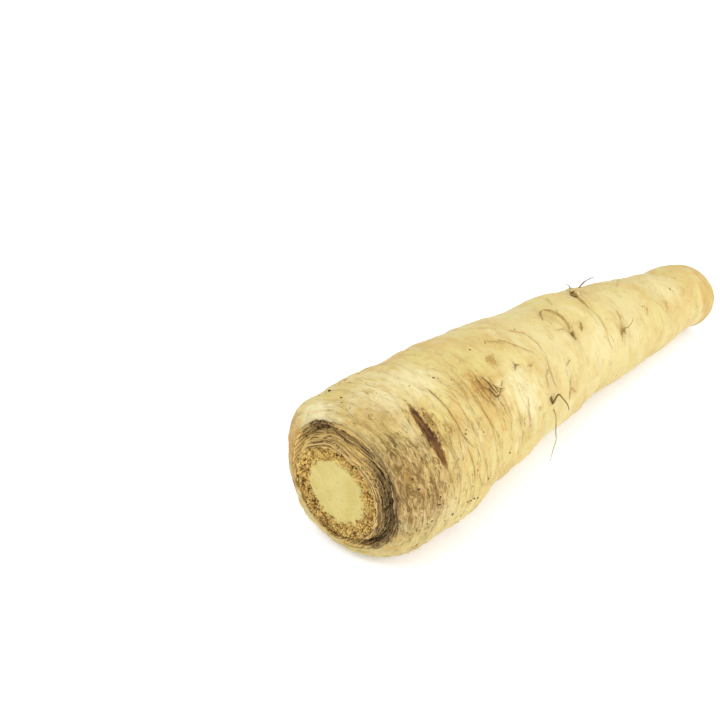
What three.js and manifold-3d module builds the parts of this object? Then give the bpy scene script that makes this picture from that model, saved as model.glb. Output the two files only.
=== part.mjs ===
// Parsley root, trimmed for sale: a tapering taproot lying on its side. The leaf stalks are cut off
// at the crown, the thin tail is cut off at the tip, and a few hair-thin side rootlets are left.
// All of it grew as one piece, so it is one closed solid.
// Millimetres, +Z up. +X runs from the crown to the tip. The origin is on the resting plane, under
// the middle of the bounding box.

import * as THREE from "three";
import { mergeVertices } from "three/addons/utils/BufferGeometryUtils.js";
import Module from "manifold-3d";

// Driving dimensions
const BODY_LENGTH = 176; // from the shoulder's end plane to the cut tip
const SHOULDER_RADIUS = 26; // the widest girth, just behind the crown
const TIP_RADIUS = 10.5; // where the tail was cut off
const TAPER_POWER = 1.35; // above 1 the taper starts slowly and quickens
const BOW = 1.9; // how far the middle of the axis bows to +Y
const SIDE_BEND = 5.8; // how far the last stretch leans to -Y
const BEND_START = 0.55; // share of the length where that bend begins
const TIP_LIFT = 1; // how far the tip's underside is off the ground
const REST_SINK = 0.8; // how much of the underside is pressed flat where the root rests

// The crown: a cut leaf stub on a ridged neck, in a furrow inside the rounded shoulder
const STUB_RISE = 3; // the cut face stands this far out of the shoulder's end plane
const STUB_RADIUS = 14.4;
const STUB_DROP = 0.8; // the stub sits a little below the body's own axis
const STUB_ASIDE = 1.5; // and this far to +Y of it
const CORE_RADIUS = 10.6; // the pale pith in the middle of the cut face
const FURROW_RADIUS = 17.5;
const FURROW_DEPTH = 2.1;
const LIP_RADIUS = 19.6; // where the shoulder starts to round over
const LIP_INSET = 0.3;
const SHOULDER_REACH = 13; // length of the rounding from the lip to the full girth

// The cut tip
const TIP_EDGE = 3.2; // radius of its rounded edge
const TIP_FLARE = 0.4; // the tip swells a little just before the cut
const FLARE_AT = 0.95; // share of the length where it is widest
const FLARE_REACH = 0.04;
const TIP_SLANT = 0.1; // the cut leans back at the top by this share of the height
const TIP_SKEW = 5; // the cut falls this far short on the side it was made from
const SKEW_TURN = 235; // the direction of that side, in degrees

// Fineness of the mesh
const SEGMENTS = 44; // faces around the girth
const RING_STEP = 2.9; // distance between rings along the body
const SHOULDER_RINGS = 7;
const EDGE_RINGS = 4;

const degrees = THREE.MathUtils.degToRad;
const smooth = THREE.MathUtils.smoothstep;

// Broad lumps and hollows that break the even taper: station from the shoulder, direction around
// the girth in degrees (0 is +Y, 90 is up), how far the skin stands out, or in where negative, then
// the half-length along the root and the half-width around it in degrees.
const LUMPS = [
  { at: 3, turn: 36, rise: 2, reach: 5, spread: 28 },
  { at: 0, turn: 308, rise: 2.1, reach: 8, spread: 38 },
  { at: 8, turn: 225, rise: -0.7, reach: 12, spread: 50 },
  { at: 32, turn: 225, rise: 0.9, reach: 12, spread: 50 },
  { at: 32, turn: 45, rise: 0.5, reach: 12, spread: 50 },
  { at: 74, turn: 225, rise: -0.8, reach: 12, spread: 50 },
  { at: 98, turn: 330, rise: 0.7, reach: 12, spread: 50 },
  { at: 112, turn: 225, rise: -0.5, reach: 38, spread: 50 },
  { at: 120, turn: 225, rise: -0.3, reach: 12, spread: 50 },
  { at: 130, turn: 70, rise: 0.3, reach: 22, spread: 40 },
  { at: 160, turn: 78, rise: -0.8, reach: 6, spread: 35 },
  { at: 166, turn: 58, rise: -1.1, reach: 12, spread: 50 },
  { at: 176, turn: 90, rise: 0.7, reach: 12, spread: 50 },
  { at: 170, turn: 222, rise: -0.9, reach: 12, spread: 50 },
];

// Cross creases in the skin: station from the shoulder, direction and half-width around the girth
// in degrees (0 is +Y, 90 is up), depth, and how far the crease drifts along the root per radian.
const CREASES = [
  { at: 26, turn: 146, spread: 52, depth: 0.55, drift: 0.6 },
  { at: 38, turn: 130, spread: 60, depth: 0.45, drift: 2.4 },
  { at: 48, turn: 20, spread: 70, depth: 0.5, drift: -1.5 },
  { at: 56, turn: 250, spread: 75, depth: 0.5, drift: 1.2 },
  { at: 64, turn: 150, spread: 48, depth: 0.5, drift: 1.8 },
  { at: 75, turn: 118, spread: 55, depth: 0.9, drift: 1.6 },
  { at: 85, turn: 330, spread: 80, depth: 0.6, drift: -1.1 },
  { at: 87, turn: 165, spread: 40, depth: 0.5, drift: -0.8 },
  { at: 97, turn: 108, spread: 42, depth: 0.9, drift: 0.6 },
  { at: 106, turn: 215, spread: 70, depth: 0.5, drift: 1.4 },
  { at: 113, turn: 104, spread: 46, depth: 1.0, drift: -2.0 },
  { at: 122, turn: 150, spread: 44, depth: 0.8, drift: -2.6 },
  { at: 128, turn: 10, spread: 85, depth: 0.5, drift: 1.0 },
  { at: 137, turn: 240, spread: 60, depth: 0.5, drift: -1.2 },
  { at: 148, turn: 135, spread: 50, depth: 0.45, drift: 1.0 },
  { at: 160, turn: 40, spread: 70, depth: 0.4, drift: -0.9 },
];
const CREASE_WIDTH = 1.9;
const LEDGE_WIDTH = 5; // the skin stands a little proud on the crown side of a crease

// Side rootlets: where each leaves the skin, its thickness, and its path as steps
// [along the root, away from the axis, up] from that point.
const ROOTLETS = [
  {
    at: 72.5,
    turn: 176,
    thick: 0.6,
    steps: [[-0.6, 1.5, -2.2], [-1.8, 2.5, -6.2], [-2.1, 3, -9], [-3.2, 2.8, -12.4], [-3.9, 2.5, -16.7]],
  },
  {
    at: 72,
    turn: 170,
    thick: 0.8,
    steps: [[1, 0.8, 2.4], [1.6, 1.2, 2.6], [3.1, 1.6, 0.5], [5.6, 1.8, -2.9], [7.1, 1.6, -6.1]],
  },
  { at: 124, turn: 68, thick: 0.7, steps: [[3.2, 0.8, -0.2], [6.4, 1.1, -0.8], [10, 1.2, -1.6]] },
  { at: 121, turn: 64, thick: 0.6, steps: [[-0.1, 1, 0.3], [-0.8, 1.7, 0.5], [-1.8, 2, 0.3]] },
  { at: 120, turn: 146, thick: 0.6, steps: [[1.2, 0.9, -0.3], [2.8, 1.3, 0.6], [3.6, 1.2, 2]] },
  { at: 88, turn: 8, thick: 0.6, steps: [[1.5, 1.6, -0.6], [4.6, 2.4, -3], [6.4, 2.2, -6.5]] },
];
const ROOTLET_SIDES = 6;
const ROOTLET_STEPS = 10;
const ROOTLET_ROOTING = 1.2; // how far each starts under the skin

// Shape of the body --------------------------------------------------------------------------------

function girth(station) {
  const share = THREE.MathUtils.clamp(station / BODY_LENGTH, 0, 1);
  const flare = TIP_FLARE * Math.exp(-(((share - FLARE_AT) / FLARE_REACH) ** 2));
  return TIP_RADIUS + (SHOULDER_RADIUS - TIP_RADIUS) * (1 - share ** TAPER_POWER) + flare;
}

function sideways(station) {
  const share = THREE.MathUtils.clamp(station / BODY_LENGTH, 0, 1);
  const past = Math.max(0, share - BEND_START) / (1 - BEND_START);
  return BOW * Math.sin(Math.PI * share) - SIDE_BEND * past ** 1.6;
}

function axisHeight(station) {
  const share = station / BODY_LENGTH;
  return girth(station) - REST_SINK + TIP_LIFT * smooth(share, 0.8, 1);
}

// The angle from one direction around the girth to another, between -PI and PI
function between(turn, other) {
  return Math.atan2(Math.sin(turn - other), Math.cos(turn - other));
}

// Slow swellings of the girth, as a root gets in stony soil
function swelling(station, turn) {
  const oval = 0.3 * Math.sin(2 * turn + station / 250);
  const lumps = 0.4 * Math.sin(station / 8.5 + 0.9 * Math.sin(turn + 0.5));
  const knots = 0.3 * Math.sin(station / 4.6 + 1.4 * Math.cos(turn - 1.1) + 2);
  return oval + lumps + knots;
}

function lumping(station, turn) {
  let sum = 0;
  for (const lump of LUMPS) {
    const around = between(turn, degrees(lump.turn)) / degrees(lump.spread);
    const along = (station - lump.at) / lump.reach;
    sum += lump.rise * Math.exp(-(around ** 2) - along ** 2);
  }
  return sum;
}

function creasing(station, turn) {
  let sum = 0;
  for (const crease of CREASES) {
    const around = between(turn, degrees(crease.turn));
    const fade = Math.exp(-((around / degrees(crease.spread)) ** 4));
    const along = station - crease.at - crease.drift * around;
    const cut = Math.exp(-((along / CREASE_WIDTH) ** 2));
    const ledge = Math.exp(-(((along + LEDGE_WIDTH) / LEDGE_WIDTH) ** 2));
    sum += crease.depth * fade * (0.6 * ledge - cut);
  }
  return sum;
}

// Where a point of the plain outline goes, once the root's bends and swellings are in it
function grown(station, radius, turn) {
  const full = girth(station);
  const skin = smooth(radius / full, 0.55, 0.95);
  const relief = swelling(station, turn) + lumping(station, turn) + creasing(station, turn);
  const swollen = radius + skin * relief;
  const crown = (1 - smooth(station, 2, 26)) * (1 - smooth(radius, STUB_RADIUS, SHOULDER_RADIUS));
  const height = swollen * Math.sin(turn);
  const facing = 0.5 + 0.5 * Math.cos(turn - degrees(SKEW_TURN));
  const short = TIP_SLANT * height + TIP_SKEW * facing ** 4 * (swollen / TIP_RADIUS);
  return new THREE.Vector3(
    station - short * smooth(station / BODY_LENGTH, 0.93, 1),
    sideways(station) + swollen * Math.cos(turn) + STUB_ASIDE * crown,
    Math.max(0, axisHeight(station) + height - STUB_DROP * crown),
  );
}

// Half outline of the root, as (radius, station) from the middle of the crown to that of the tip
function outline() {
  const points = [];
  const add = (station, radius) => points.push(new THREE.Vector2(radius, station));
  for (const share of [0, 0.35, 0.7, 1]) add(-STUB_RISE + 0.3 * share, CORE_RADIUS * share);
  add(-STUB_RISE, (CORE_RADIUS + STUB_RADIUS) / 2);
  add(-STUB_RISE + 0.3, STUB_RADIUS);
  const neck = new THREE.QuadraticBezierCurve(
    new THREE.Vector2(STUB_RADIUS + 0.6, -STUB_RISE + 1),
    new THREE.Vector2(STUB_RADIUS + 1, FURROW_DEPTH - 0.4),
    new THREE.Vector2(FURROW_RADIUS, FURROW_DEPTH),
  );
  points.push(...neck.getPoints(4));
  add(FURROW_DEPTH * 0.55, (FURROW_RADIUS + LIP_RADIUS) / 2);
  for (let i = 0; i <= SHOULDER_RINGS; i++) {
    const angle = ((i / SHOULDER_RINGS) * Math.PI) / 2;
    const station = LIP_INSET + (SHOULDER_REACH - LIP_INSET) * (1 - Math.cos(angle));
    add(station, LIP_RADIUS + (girth(station) - LIP_RADIUS) * Math.sin(angle));
  }
  const bodyEnd = BODY_LENGTH - TIP_EDGE;
  const rings = Math.round((bodyEnd - SHOULDER_REACH) / RING_STEP);
  for (let i = 1; i < rings; i++) {
    const station = SHOULDER_REACH + (i / rings) * (bodyEnd - SHOULDER_REACH);
    add(station, girth(station));
  }
  for (let i = 0; i <= EDGE_RINGS; i++) {
    const angle = ((i / EDGE_RINGS) * Math.PI) / 2;
    add(bodyEnd + TIP_EDGE * Math.sin(angle), girth(bodyEnd) - TIP_EDGE * (1 - Math.cos(angle)));
  }
  add(BODY_LENGTH - 0.2, TIP_RADIUS * 0.4);
  add(BODY_LENGTH - 0.3, 0);
  return points;
}

function bodyGeometry() {
  const lathe = new THREE.LatheGeometry(outline().reverse(), SEGMENTS);
  const place = lathe.getAttribute("position");
  for (let i = 0; i < place.count; i++) {
    const across = place.getX(i);
    const upward = place.getZ(i);
    const at = grown(place.getY(i), Math.hypot(across, upward), Math.atan2(upward, across));
    place.setXYZ(i, at.x, at.y, at.z);
  }
  return lathe;
}

function rootletGeometry({ at, turn, thick, steps }) {
  const angle = degrees(turn);
  const outward = new THREE.Vector3(0, Math.cos(angle), Math.sin(angle));
  const start = grown(at, girth(at), angle);
  const path = [start.clone().addScaledVector(outward, -ROOTLET_ROOTING), start];
  for (const [along, away, up] of steps) {
    const point = start.clone().addScaledVector(outward, away);
    path.push(point.add(new THREE.Vector3(along, 0, up)));
  }
  for (const point of path) point.z = Math.max(point.z, thick);
  const section = new THREE.Shape();
  section.absarc(0, 0, thick / 2, 0, Math.PI * 2);
  return new THREE.ExtrudeGeometry(section, {
    curveSegments: ROOTLET_SIDES,
    steps: ROOTLET_STEPS,
    extrudePath: new THREE.CatmullRomCurve3(path),
    bevelEnabled: false,
  });
}

// Joining, with manifold-3d ------------------------------------------------------------------------

const wasm = await Module();
wasm.setup();

function solidOf(geometry) {
  const bare = geometry.index ? geometry.toNonIndexed() : geometry.clone();
  bare.deleteAttribute("normal");
  bare.deleteAttribute("uv");
  const merged = mergeVertices(bare, 1e-3);
  const mesh = new wasm.Mesh({
    numProp: 3,
    vertProperties: merged.getAttribute("position").array,
    triVerts: new Uint32Array(merged.index.array),
  });
  return new wasm.Manifold(mesh);
}

function geometryOf(solid) {
  const mesh = solid.getMesh();
  const geometry = new THREE.BufferGeometry();
  geometry.setAttribute("position", new THREE.BufferAttribute(mesh.vertProperties, 3));
  geometry.setIndex(new THREE.BufferAttribute(mesh.triVerts, 1));
  return geometry;
}

function parsleyRoot() {
  let solid = solidOf(bodyGeometry());
  for (const rootlet of ROOTLETS) solid = solid.add(solidOf(rootletGeometry(rootlet)));
  const geometry = geometryOf(solid);
  geometry.computeBoundingBox();
  const { min, max } = geometry.boundingBox;
  geometry.translate(-(min.x + max.x) / 2, -(min.y + max.y) / 2, -min.z);
  geometry.computeVertexNormals();
  const skin = new THREE.MeshStandardMaterial({ color: 0xeedc9c, roughness: 0.62, metalness: 0 });
  const mesh = new THREE.Mesh(geometry, skin);
  mesh.name = "parsley_root";
  return mesh;
}

const model = new THREE.Group();
model.add(parsleyRoot());

export default model;
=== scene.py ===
# Looks of a trimmed parsley root: creased cream skin, a cut crown with its ring of leaf scars,
# hair-thin rootlets and specks of soil. Shapes are worked out in millimetres and written in metres.
# A place on the skin is a station, the distance from the shoulder's end plane towards the tip, and
# a turn, the direction around the girth in degrees: 0 is +Y, 90 is up, 180 is -Y, 270 is down.

import math
from collections import namedtuple

import bmesh
import bpy
import numpy as np
from mathutils import Matrix, Vector, noise
from mathutils.bvhtree import BVHTree


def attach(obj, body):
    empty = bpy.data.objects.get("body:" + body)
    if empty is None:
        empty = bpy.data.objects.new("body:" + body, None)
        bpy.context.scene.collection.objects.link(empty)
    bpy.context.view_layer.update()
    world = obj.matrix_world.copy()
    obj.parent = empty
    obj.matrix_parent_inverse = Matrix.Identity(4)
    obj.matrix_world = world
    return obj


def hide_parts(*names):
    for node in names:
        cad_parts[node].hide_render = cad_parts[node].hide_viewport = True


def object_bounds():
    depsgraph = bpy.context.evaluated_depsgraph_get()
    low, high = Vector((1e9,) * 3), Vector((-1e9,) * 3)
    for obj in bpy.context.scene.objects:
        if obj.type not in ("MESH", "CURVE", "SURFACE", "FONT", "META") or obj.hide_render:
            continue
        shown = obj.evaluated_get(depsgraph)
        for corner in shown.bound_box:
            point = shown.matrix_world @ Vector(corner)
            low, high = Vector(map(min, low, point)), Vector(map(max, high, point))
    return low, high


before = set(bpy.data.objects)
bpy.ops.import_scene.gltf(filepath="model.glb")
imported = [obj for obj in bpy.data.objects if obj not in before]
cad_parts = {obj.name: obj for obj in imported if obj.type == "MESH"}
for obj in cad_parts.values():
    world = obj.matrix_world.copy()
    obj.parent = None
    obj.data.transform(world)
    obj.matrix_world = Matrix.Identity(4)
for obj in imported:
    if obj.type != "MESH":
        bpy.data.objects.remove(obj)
CAD_LOW, CAD_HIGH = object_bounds()
MM = 0.001

# Driving dimensions of the body
BODY_LENGTH = 176
SHOULDER_RADIUS = 26
TIP_RADIUS = 10.5
TAPER_POWER = 1.35
BOW = 1.9
SIDE_BEND = 5.8
BEND_START = 0.55
TIP_LIFT = 1
REST_SINK = 0.8
AXIS_ASIDE = -0.617

# The crown: a cut leaf stub on a ridged neck, in a furrow inside the rounded shoulder
STUB_RISE = 3
STUB_RADIUS = 14.4
STUB_DROP = 0.8
STUB_ASIDE = 1.5
CORE_RADIUS = 10.6
FURROW_RADIUS = 17.5
FURROW_DEPTH = 2.1
LIP_RADIUS = 19.6
LIP_INSET = 0.3
SHOULDER_REACH = 13
HOLLOW_DEPTH = 6
HOLLOW_RADIUS = 17.7
HUSK_RADIUS = 18.95
STUB_FOOT = 7

# How the crown changes around its girth, in (turn, value) rows. HUSK_EDGE is the radius where the
# dry husks end against the clean lip, CRUMB_EDGE how far out the crumbly ring goes before the
# husks start, DARK_FROM where they turn dark, both along the outline, GLOOM how dark they are
# there, and POCKET how much deeper the furrow is. The darkness is partly the dry husks' own brown
# and partly painted shade, in the furrow's pockets and in the outer band under the lip.
HUSK_EDGE = [
    (0, 18.8), (35, 18.9), (58, 20.0), (85, 19.9), (110, 19.1), (135, 18.8), (150, 18.6),
    (165, 18.1), (182, 18.5), (196, 19.1), (208, 19.4), (222, 19.1), (238, 19.0), (270, 19.0),
    (320, 18.9),
]
CRUMB_EDGE = [
    (0, 20.0), (22, 15.8), (60, 13.8), (100, 13.6), (130, 13.7), (160, 13.5), (190, 13.6),
    (215, 14.4), (240, 16.2), (260, 19.0), (280, 23.5), (342, 23.5),
]
DARK_FROM = [
    (0, 20.5), (34, 20.2), (58, 18.9), (75, 20.0), (100, 19.2), (125, 17.0), (150, 15.4),
    (175, 14.8), (200, 14.8), (215, 15.2), (245, 17), (300, 20.5),
]
GLOOM = [
    (0, 0.1), (30, 0.08), (44, 0.3), (52, 0.85), (61, 1.0), (69, 0.85), (79, 0.4), (94, 0.3),
    (108, 0.4), (122, 0.55), (140, 0.8), (165, 0.95), (195, 0.95), (215, 0.85), (234, 0.95),
    (248, 0.4), (268, 0.2), (300, 0.1), (335, 0.1),
]
POCKET = [
    (0, -0.9), (34, -0.1), (48, 0.9), (60, 1.8), (74, 0.7), (90, 0.1), (150, 0.5), (185, 0.7),
    (215, 0.8), (233, 1.6), (252, 0.1), (275, -0.8), (320, -1.2),
]
SHEET_GAP = 1.1

# The cut tip
TIP_EDGE = 3.2
TIP_FLARE = 0.4
FLARE_AT = 0.95
FLARE_REACH = 0.04
TIP_SLANT = 0.1
TIP_SKEW = 5
SKEW_TURN = math.radians(235)

# Fineness of the meshes
BODY_SEGMENTS = 230
STUB_SEGMENTS = 520
CROWN_RING = 0.35
TIP_RING = 0.62

# How many of the small things there are; those listed come first among them
WRINKLE_COUNT = 560
FIBRE_COUNT = 230
SHRED_COUNT = 60
SPECK_COUNT = 96
CRUMB_COUNT = 420
FLAKE_COUNT = 70

rng = np.random.default_rng(7)

Lump = namedtuple("Lump", "station turn rise reach spread")
LUMPS = [Lump(*row) for row in (
    (3, 36, 2.0, 5, 28), (0, 308, 2.1, 8, 38), (8, 225, -0.7, 12, 50), (32, 225, 0.9, 12, 50),
    (32, 45, 0.5, 12, 50), (74, 225, -0.8, 12, 50), (98, 330, 0.7, 12, 50),
    (112, 225, -0.5, 38, 50), (120, 225, -0.3, 12, 50), (130, 70, 0.3, 22, 40),
    (160, 78, -0.8, 6, 35), (166, 58, -1.1, 12, 50), (176, 90, 0.7, 12, 50),
    (170, 222, -0.9, 12, 50),
)]

Crease = namedtuple("Crease", "station turn spread depth drift")
CREASES = [Crease(*row) for row in (
    (26, 146, 52, 0.55, 0.6), (38, 130, 60, 0.45, 2.4), (48, 20, 70, 0.5, -1.5),
    (56, 250, 75, 0.5, 1.2), (64, 150, 48, 0.5, 1.8), (75, 118, 55, 0.9, 1.6),
    (85, 330, 80, 0.6, -1.1), (87, 165, 40, 0.5, -0.8), (97, 108, 42, 0.9, 0.6),
    (106, 215, 70, 0.5, 1.4), (113, 104, 46, 1.0, -2.0), (122, 150, 44, 0.8, -2.6),
    (128, 10, 85, 0.5, 1.0), (137, 240, 60, 0.5, -1.2), (148, 135, 50, 0.45, 1.0),
    (160, 40, 70, 0.4, -0.9),
)]
CREASE_WIDTH = 1.9
LEDGE_WIDTH = 5

# Marks in the skin, each along a path of (station, turn) places. width is the line's, in mm; depth
# is how far it cuts in; lip is how far the skin stands up on its crown side, or on its tip side
# where negative; ink is how dark it is, and hue 0 is tan and 1 a dark purple-brown. A mark wider
# than OPEN_WIDTH is an open slit, and none shows further than MARK_REACH from its path.
Mark = namedtuple("Mark", "path width depth lip ink hue")
OPEN_WIDTH = 2
MARK_REACH = 5
MARKS = [Mark(*row) for row in (
    # the long open slit behind the shoulder, and the small ones beside it
    ([(16.0, 109), (15.2, 117), (14.6, 125), (14.6, 134), (14.8, 143), (14.6, 151), (15.2, 161)],
     3.5, 1.0, 0.3, 1.0, 1.0),
    ([(18.0, 120), (17.9, 126), (18.5, 131)], 1.1, 0.3, 0.1, 0.8, 0.6),
    ([(18.0, 134), (17.8, 140), (18.4, 146)], 0.6, 0.2, 0.1, 0.5, 0.4),
    ([(17.4, 156), (18.6, 158.5), (19.6, 158), (20.8, 157)], 0.55, 0.1, 0.1, 0.65, 0.2),
    ([(11.7, 131), (12.0, 136), (12.4, 141)], 0.8, 0.1, 0.0, 0.6, 0.5),
    ([(10.8, 147), (11.4, 152)], 0.9, 0.1, 0.0, 0.6, 0.5),
    ([(8.6, 168), (9.2, 173), (10.0, 176)], 1.1, 0.15, 0.1, 0.7, 0.5),
    ([(1.8, 158), (2.4, 163), (3.0, 160)], 0.9, 0.15, 0.1, 0.7, 0.6),
    ([(21.0, 138), (21.8, 141.5), (22.6, 138.5), (21.8, 136)], 0.5, 0.15, 0.1, 0.7, 0.4),
    # long creases between the slit and the middle
    ([(26.8, 106), (26.7, 116), (26.9, 126), (26.4, 136), (26.6, 147), (26.5, 154)],
     0.55, 0.4, 0.6, 0.7, 0.4),
    ([(26.4, 156), (26.5, 163), (26.9, 170), (26.6, 178)], 0.5, 0.3, 0.4, 0.5, 0.3),
    ([(30.4, 116), (31.6, 128), (31.2, 142), (31.6, 156), (31.2, 168)], 0.5, 0.35, 0.5, 0.5, 0.3),
    ([(40.5, 128), (40.2, 142), (40.8, 156), (40.0, 170)], 0.5, 0.3, 0.25, 0.4, 0.3),
    ([(37.4, 118), (38.0, 124), (37.2, 130)], 0.8, 0.1, 0.1, 0.4, 0.1),
    # the scratched patch and the flake that stands off its end
    ([(46.0, 116), (45.4, 121), (45.4, 127), (46.6, 132), (46.6, 137)], 0.45, 0.25, 0.1, 0.8, 0.6),
    ([(47.2, 120), (47.8, 124), (48.0, 130), (48.4, 136)], 0.5, 0.25, 0.1, 0.9, 0.8),
    ([(43.6, 117), (43.0, 123), (43.0, 132), (43.6, 139)], 0.4, 0.15, 0.1, 0.6, 0.4),
    ([(46.6, 137), (48.2, 139), (49.8, 138)], 0.5, 0.3, 0.1, 0.75, 0.7),
    ([(49.4, 138), (51.4, 134.5), (53.4, 130.5)], 0.38, 0.3, -0.2, 0.7, 0.4),
    ([(46.6, 128), (47.2, 134), (47.4, 140)], 0.5, 0.2, 0.1, 0.9, 0.8),
    ([(44.6, 120), (44.2, 128), (44.8, 137), (45.4, 145)], 0.4, 0.15, 0.1, 0.6, 0.5),
    ([(48.8, 126), (49.4, 132), (49.8, 139)], 0.4, 0.15, 0.1, 0.6, 0.5),
    ([(42.0, 126), (42.2, 134), (42.8, 143)], 0.4, 0.12, 0.1, 0.4, 0.2),
    ([(47.6, 141), (48.4, 147), (48.2, 154)], 0.4, 0.2, 0.1, 0.5, 0.4),
    ([(50.2, 138), (50.0, 150), (50.6, 162)], 0.4, 0.25, 0.2, 0.35, 0.3),
    # tan scratches along the top
    ([(53.0, 113), (55.0, 115), (58.4, 112.5)], 0.6, 0.1, 0.1, 0.69, 0.1),
    ([(53.4, 111), (56.0, 111.5), (58.8, 111)], 0.4, 0.1, 0.1, 0.57, 0.1),
    ([(53.4, 116), (55.4, 118), (57.0, 116)], 0.4, 0.1, 0.1, 0.46, 0.1),
    ([(57.6, 174), (58.0, 166), (59.0, 157), (60.0, 150)], 0.6, 0.3, 0.2, 0.57, 0.2),
    ([(60.8, 130), (63.2, 125.5), (64.8, 128)], 0.6, 0.2, 0.1, 0.92, 0.5),
    ([(66.6, 131), (68.2, 133), (69.8, 132)], 0.5, 0.2, 0.1, 0.69, 0.4),
    ([(64.6, 164), (65.4, 169)], 0.9, 0.1, 0.1, 0.46, 0.0),
    # the long raised fold that crosses the top and runs down to the rootlet
    ([(61.4, 96), (63.5, 99), (66.8, 103), (69.0, 112), (72.0, 121), (75.0, 124)],
     0.8, 0.35, 0.3, 0.69, 0.1),
    ([(67.0, 78), (70.6, 87), (75.2, 96), (77.6, 106), (78.4, 118), (77.8, 131)],
     0.7, 0.4, 0.5, 0.63, 0.3),
    ([(77.8, 131), (76.4, 144), (75.8, 154), (76.6, 162)], 0.6, 0.4, 0.5, 0.69, 0.4),
    ([(71.4, 156), (72.6, 147), (74.8, 143), (77.0, 142)], 0.6, 0.3, 0.2, 0.69, 0.2),
    ([(71.2, 162), (71.6, 166), (72.2, 170)], 1.5, 0.3, 0.2, 1, 0.7),
    # creases past the rootlet
    ([(81.8, 180), (82.4, 171), (83.8, 164), (85.0, 158)], 0.6, 0.4, 0.3, 0.92, 0.5),
    ([(83.6, 168), (85.2, 173), (87.2, 178)], 0.6, 0.2, 0.1, 0.8, 0.1),
    ([(83.8, 149), (86.0, 148), (88.6, 146.5)], 0.5, 0.2, 0.1, 0.69, 0.3),
    # the lens-shaped scar on top: a ridge all round, dark at both ends
    ([(90.2, 102), (92.6, 94), (95.0, 89), (97.8, 85)], 0.7, 0.4, 0.35, 0.86, 0.3),
    ([(97.8, 85), (98.8, 94), (99.2, 105), (98.6, 116), (97.4, 123)], 0.8, 0.5, -0.4, 0.8, 0.3),
    ([(91.0, 116), (93.4, 118), (96.0, 122), (97.6, 128)], 0.6, 0.3, 0.2, 0.69, 0.4),
    ([(95.6, 126), (96.8, 129), (98.4, 124)], 1.1, 0.5, 0.2, 1, 0.9),
    ([(100.8, 129), (102.0, 125), (103.2, 120)], 0.9, 0.2, 0.1, 0.92, 0.4),
    ([(101.4, 90), (103.0, 82), (104.6, 74)], 0.6, 0.3, 0.2, 0.4, 0.3),
    # the overhanging fold near the tail, with a deep crevice at the top
    ([(112.6, 112), (113.2, 103), (114.2, 94), (115.2, 87)], 0.7, 0.5, -0.5, 0.57, 0.4),
    ([(114.8, 90), (115.6, 84), (116.6, 78), (118.6, 70)], 1.3, 0.9, -0.5, 1, 0.9),
    ([(118.6, 70), (120.8, 61), (122.4, 50)], 0.8, 0.6, -0.4, 0.69, 0.5),
    ([(112.6, 112), (113.0, 122), (112.0, 134), (110.4, 150), (110.8, 163)],
     0.6, 0.35, 0.3, 0.4, 0.2),
    ([(116.0, 158), (117.4, 150), (120.0, 142), (122.6, 132), (123.4, 122)],
     0.7, 0.45, -0.4, 0.57, 0.2),
    ([(117.0, 150), (118.6, 147), (120.6, 149)], 1.0, 0.4, 0.2, 0.98, 0.5),
    # faint marks on the tail
    ([(133.8, 93), (136.8, 85), (141.0, 75), (145.0, 63)], 0.7, 0.35, 0.3, 0.3, 0.1),
    ([(135.4, 145), (136.4, 139), (137.2, 135)], 0.8, 0.2, 0.2, 0.7, 0.3),
    ([(146.6, 153), (147.8, 145), (149.2, 135)], 0.8, 0.25, 0.2, 0.5, 0.1),
    ([(157.4, 143), (159.0, 136), (160.4, 130)], 0.8, 0.2, 0.1, 0.3, 0.1),
    # the side that faces away
    ([(22, 20), (21, 34), (22, 48)], 0.8, 0.4, 0.3, 0.6, 0.4),
    ([(33, -40), (34, -22), (33, -6), (34, 8)], 0.7, 0.45, 0.4, 0.6, 0.4),
    ([(41, 22), (42, 30), (41.4, 37)], 1.8, 0.5, 0.3, 0.9, 0.8),
    ([(52, 6), (53, 22), (52, 40), (53, 52)], 0.7, 0.5, 0.4, 0.5, 0.4),
    ([(61, -50), (62, -34), (61.5, -20)], 0.7, 0.4, 0.3, 0.6, 0.3),
    ([(70, 30), (69, 44), (70, 58)], 0.7, 0.4, 0.4, 0.5, 0.2),
    ([(79, -12), (80.5, 4), (80, 20)], 0.8, 0.4, 0.4, 0.7, 0.5),
    ([(90, -60), (91, -40), (90, -22)], 0.7, 0.4, 0.3, 0.5, 0.3),
    ([(98, 12), (99, 28), (98, 44)], 0.7, 0.4, 0.3, 0.5, 0.3),
    ([(108, -30), (109, -14), (108, 2)], 0.7, 0.4, 0.4, 0.6, 0.4),
    ([(121, 10), (120, 26), (121, 40)], 0.7, 0.4, 0.3, 0.4, 0.2),
    ([(133, -40), (134, -20), (133, -2)], 0.7, 0.35, 0.3, 0.4, 0.2),
    ([(146, 0), (147, 18), (146, 34)], 0.7, 0.3, 0.3, 0.4, 0.2),
    ([(30, 215), (31, 232), (30, 248)], 0.7, 0.3, 0.3, 0.4, 0.3),
    ([(66, 205), (67, 222), (66, 238)], 0.7, 0.3, 0.3, 0.4, 0.2),
    ([(95, 195), (96, 212), (95, 226)], 0.7, 0.3, 0.3, 0.4, 0.2),
    ([(126, 190), (127, 206), (126, 220)], 0.7, 0.3, 0.3, 0.3, 0.2),
)]

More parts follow.
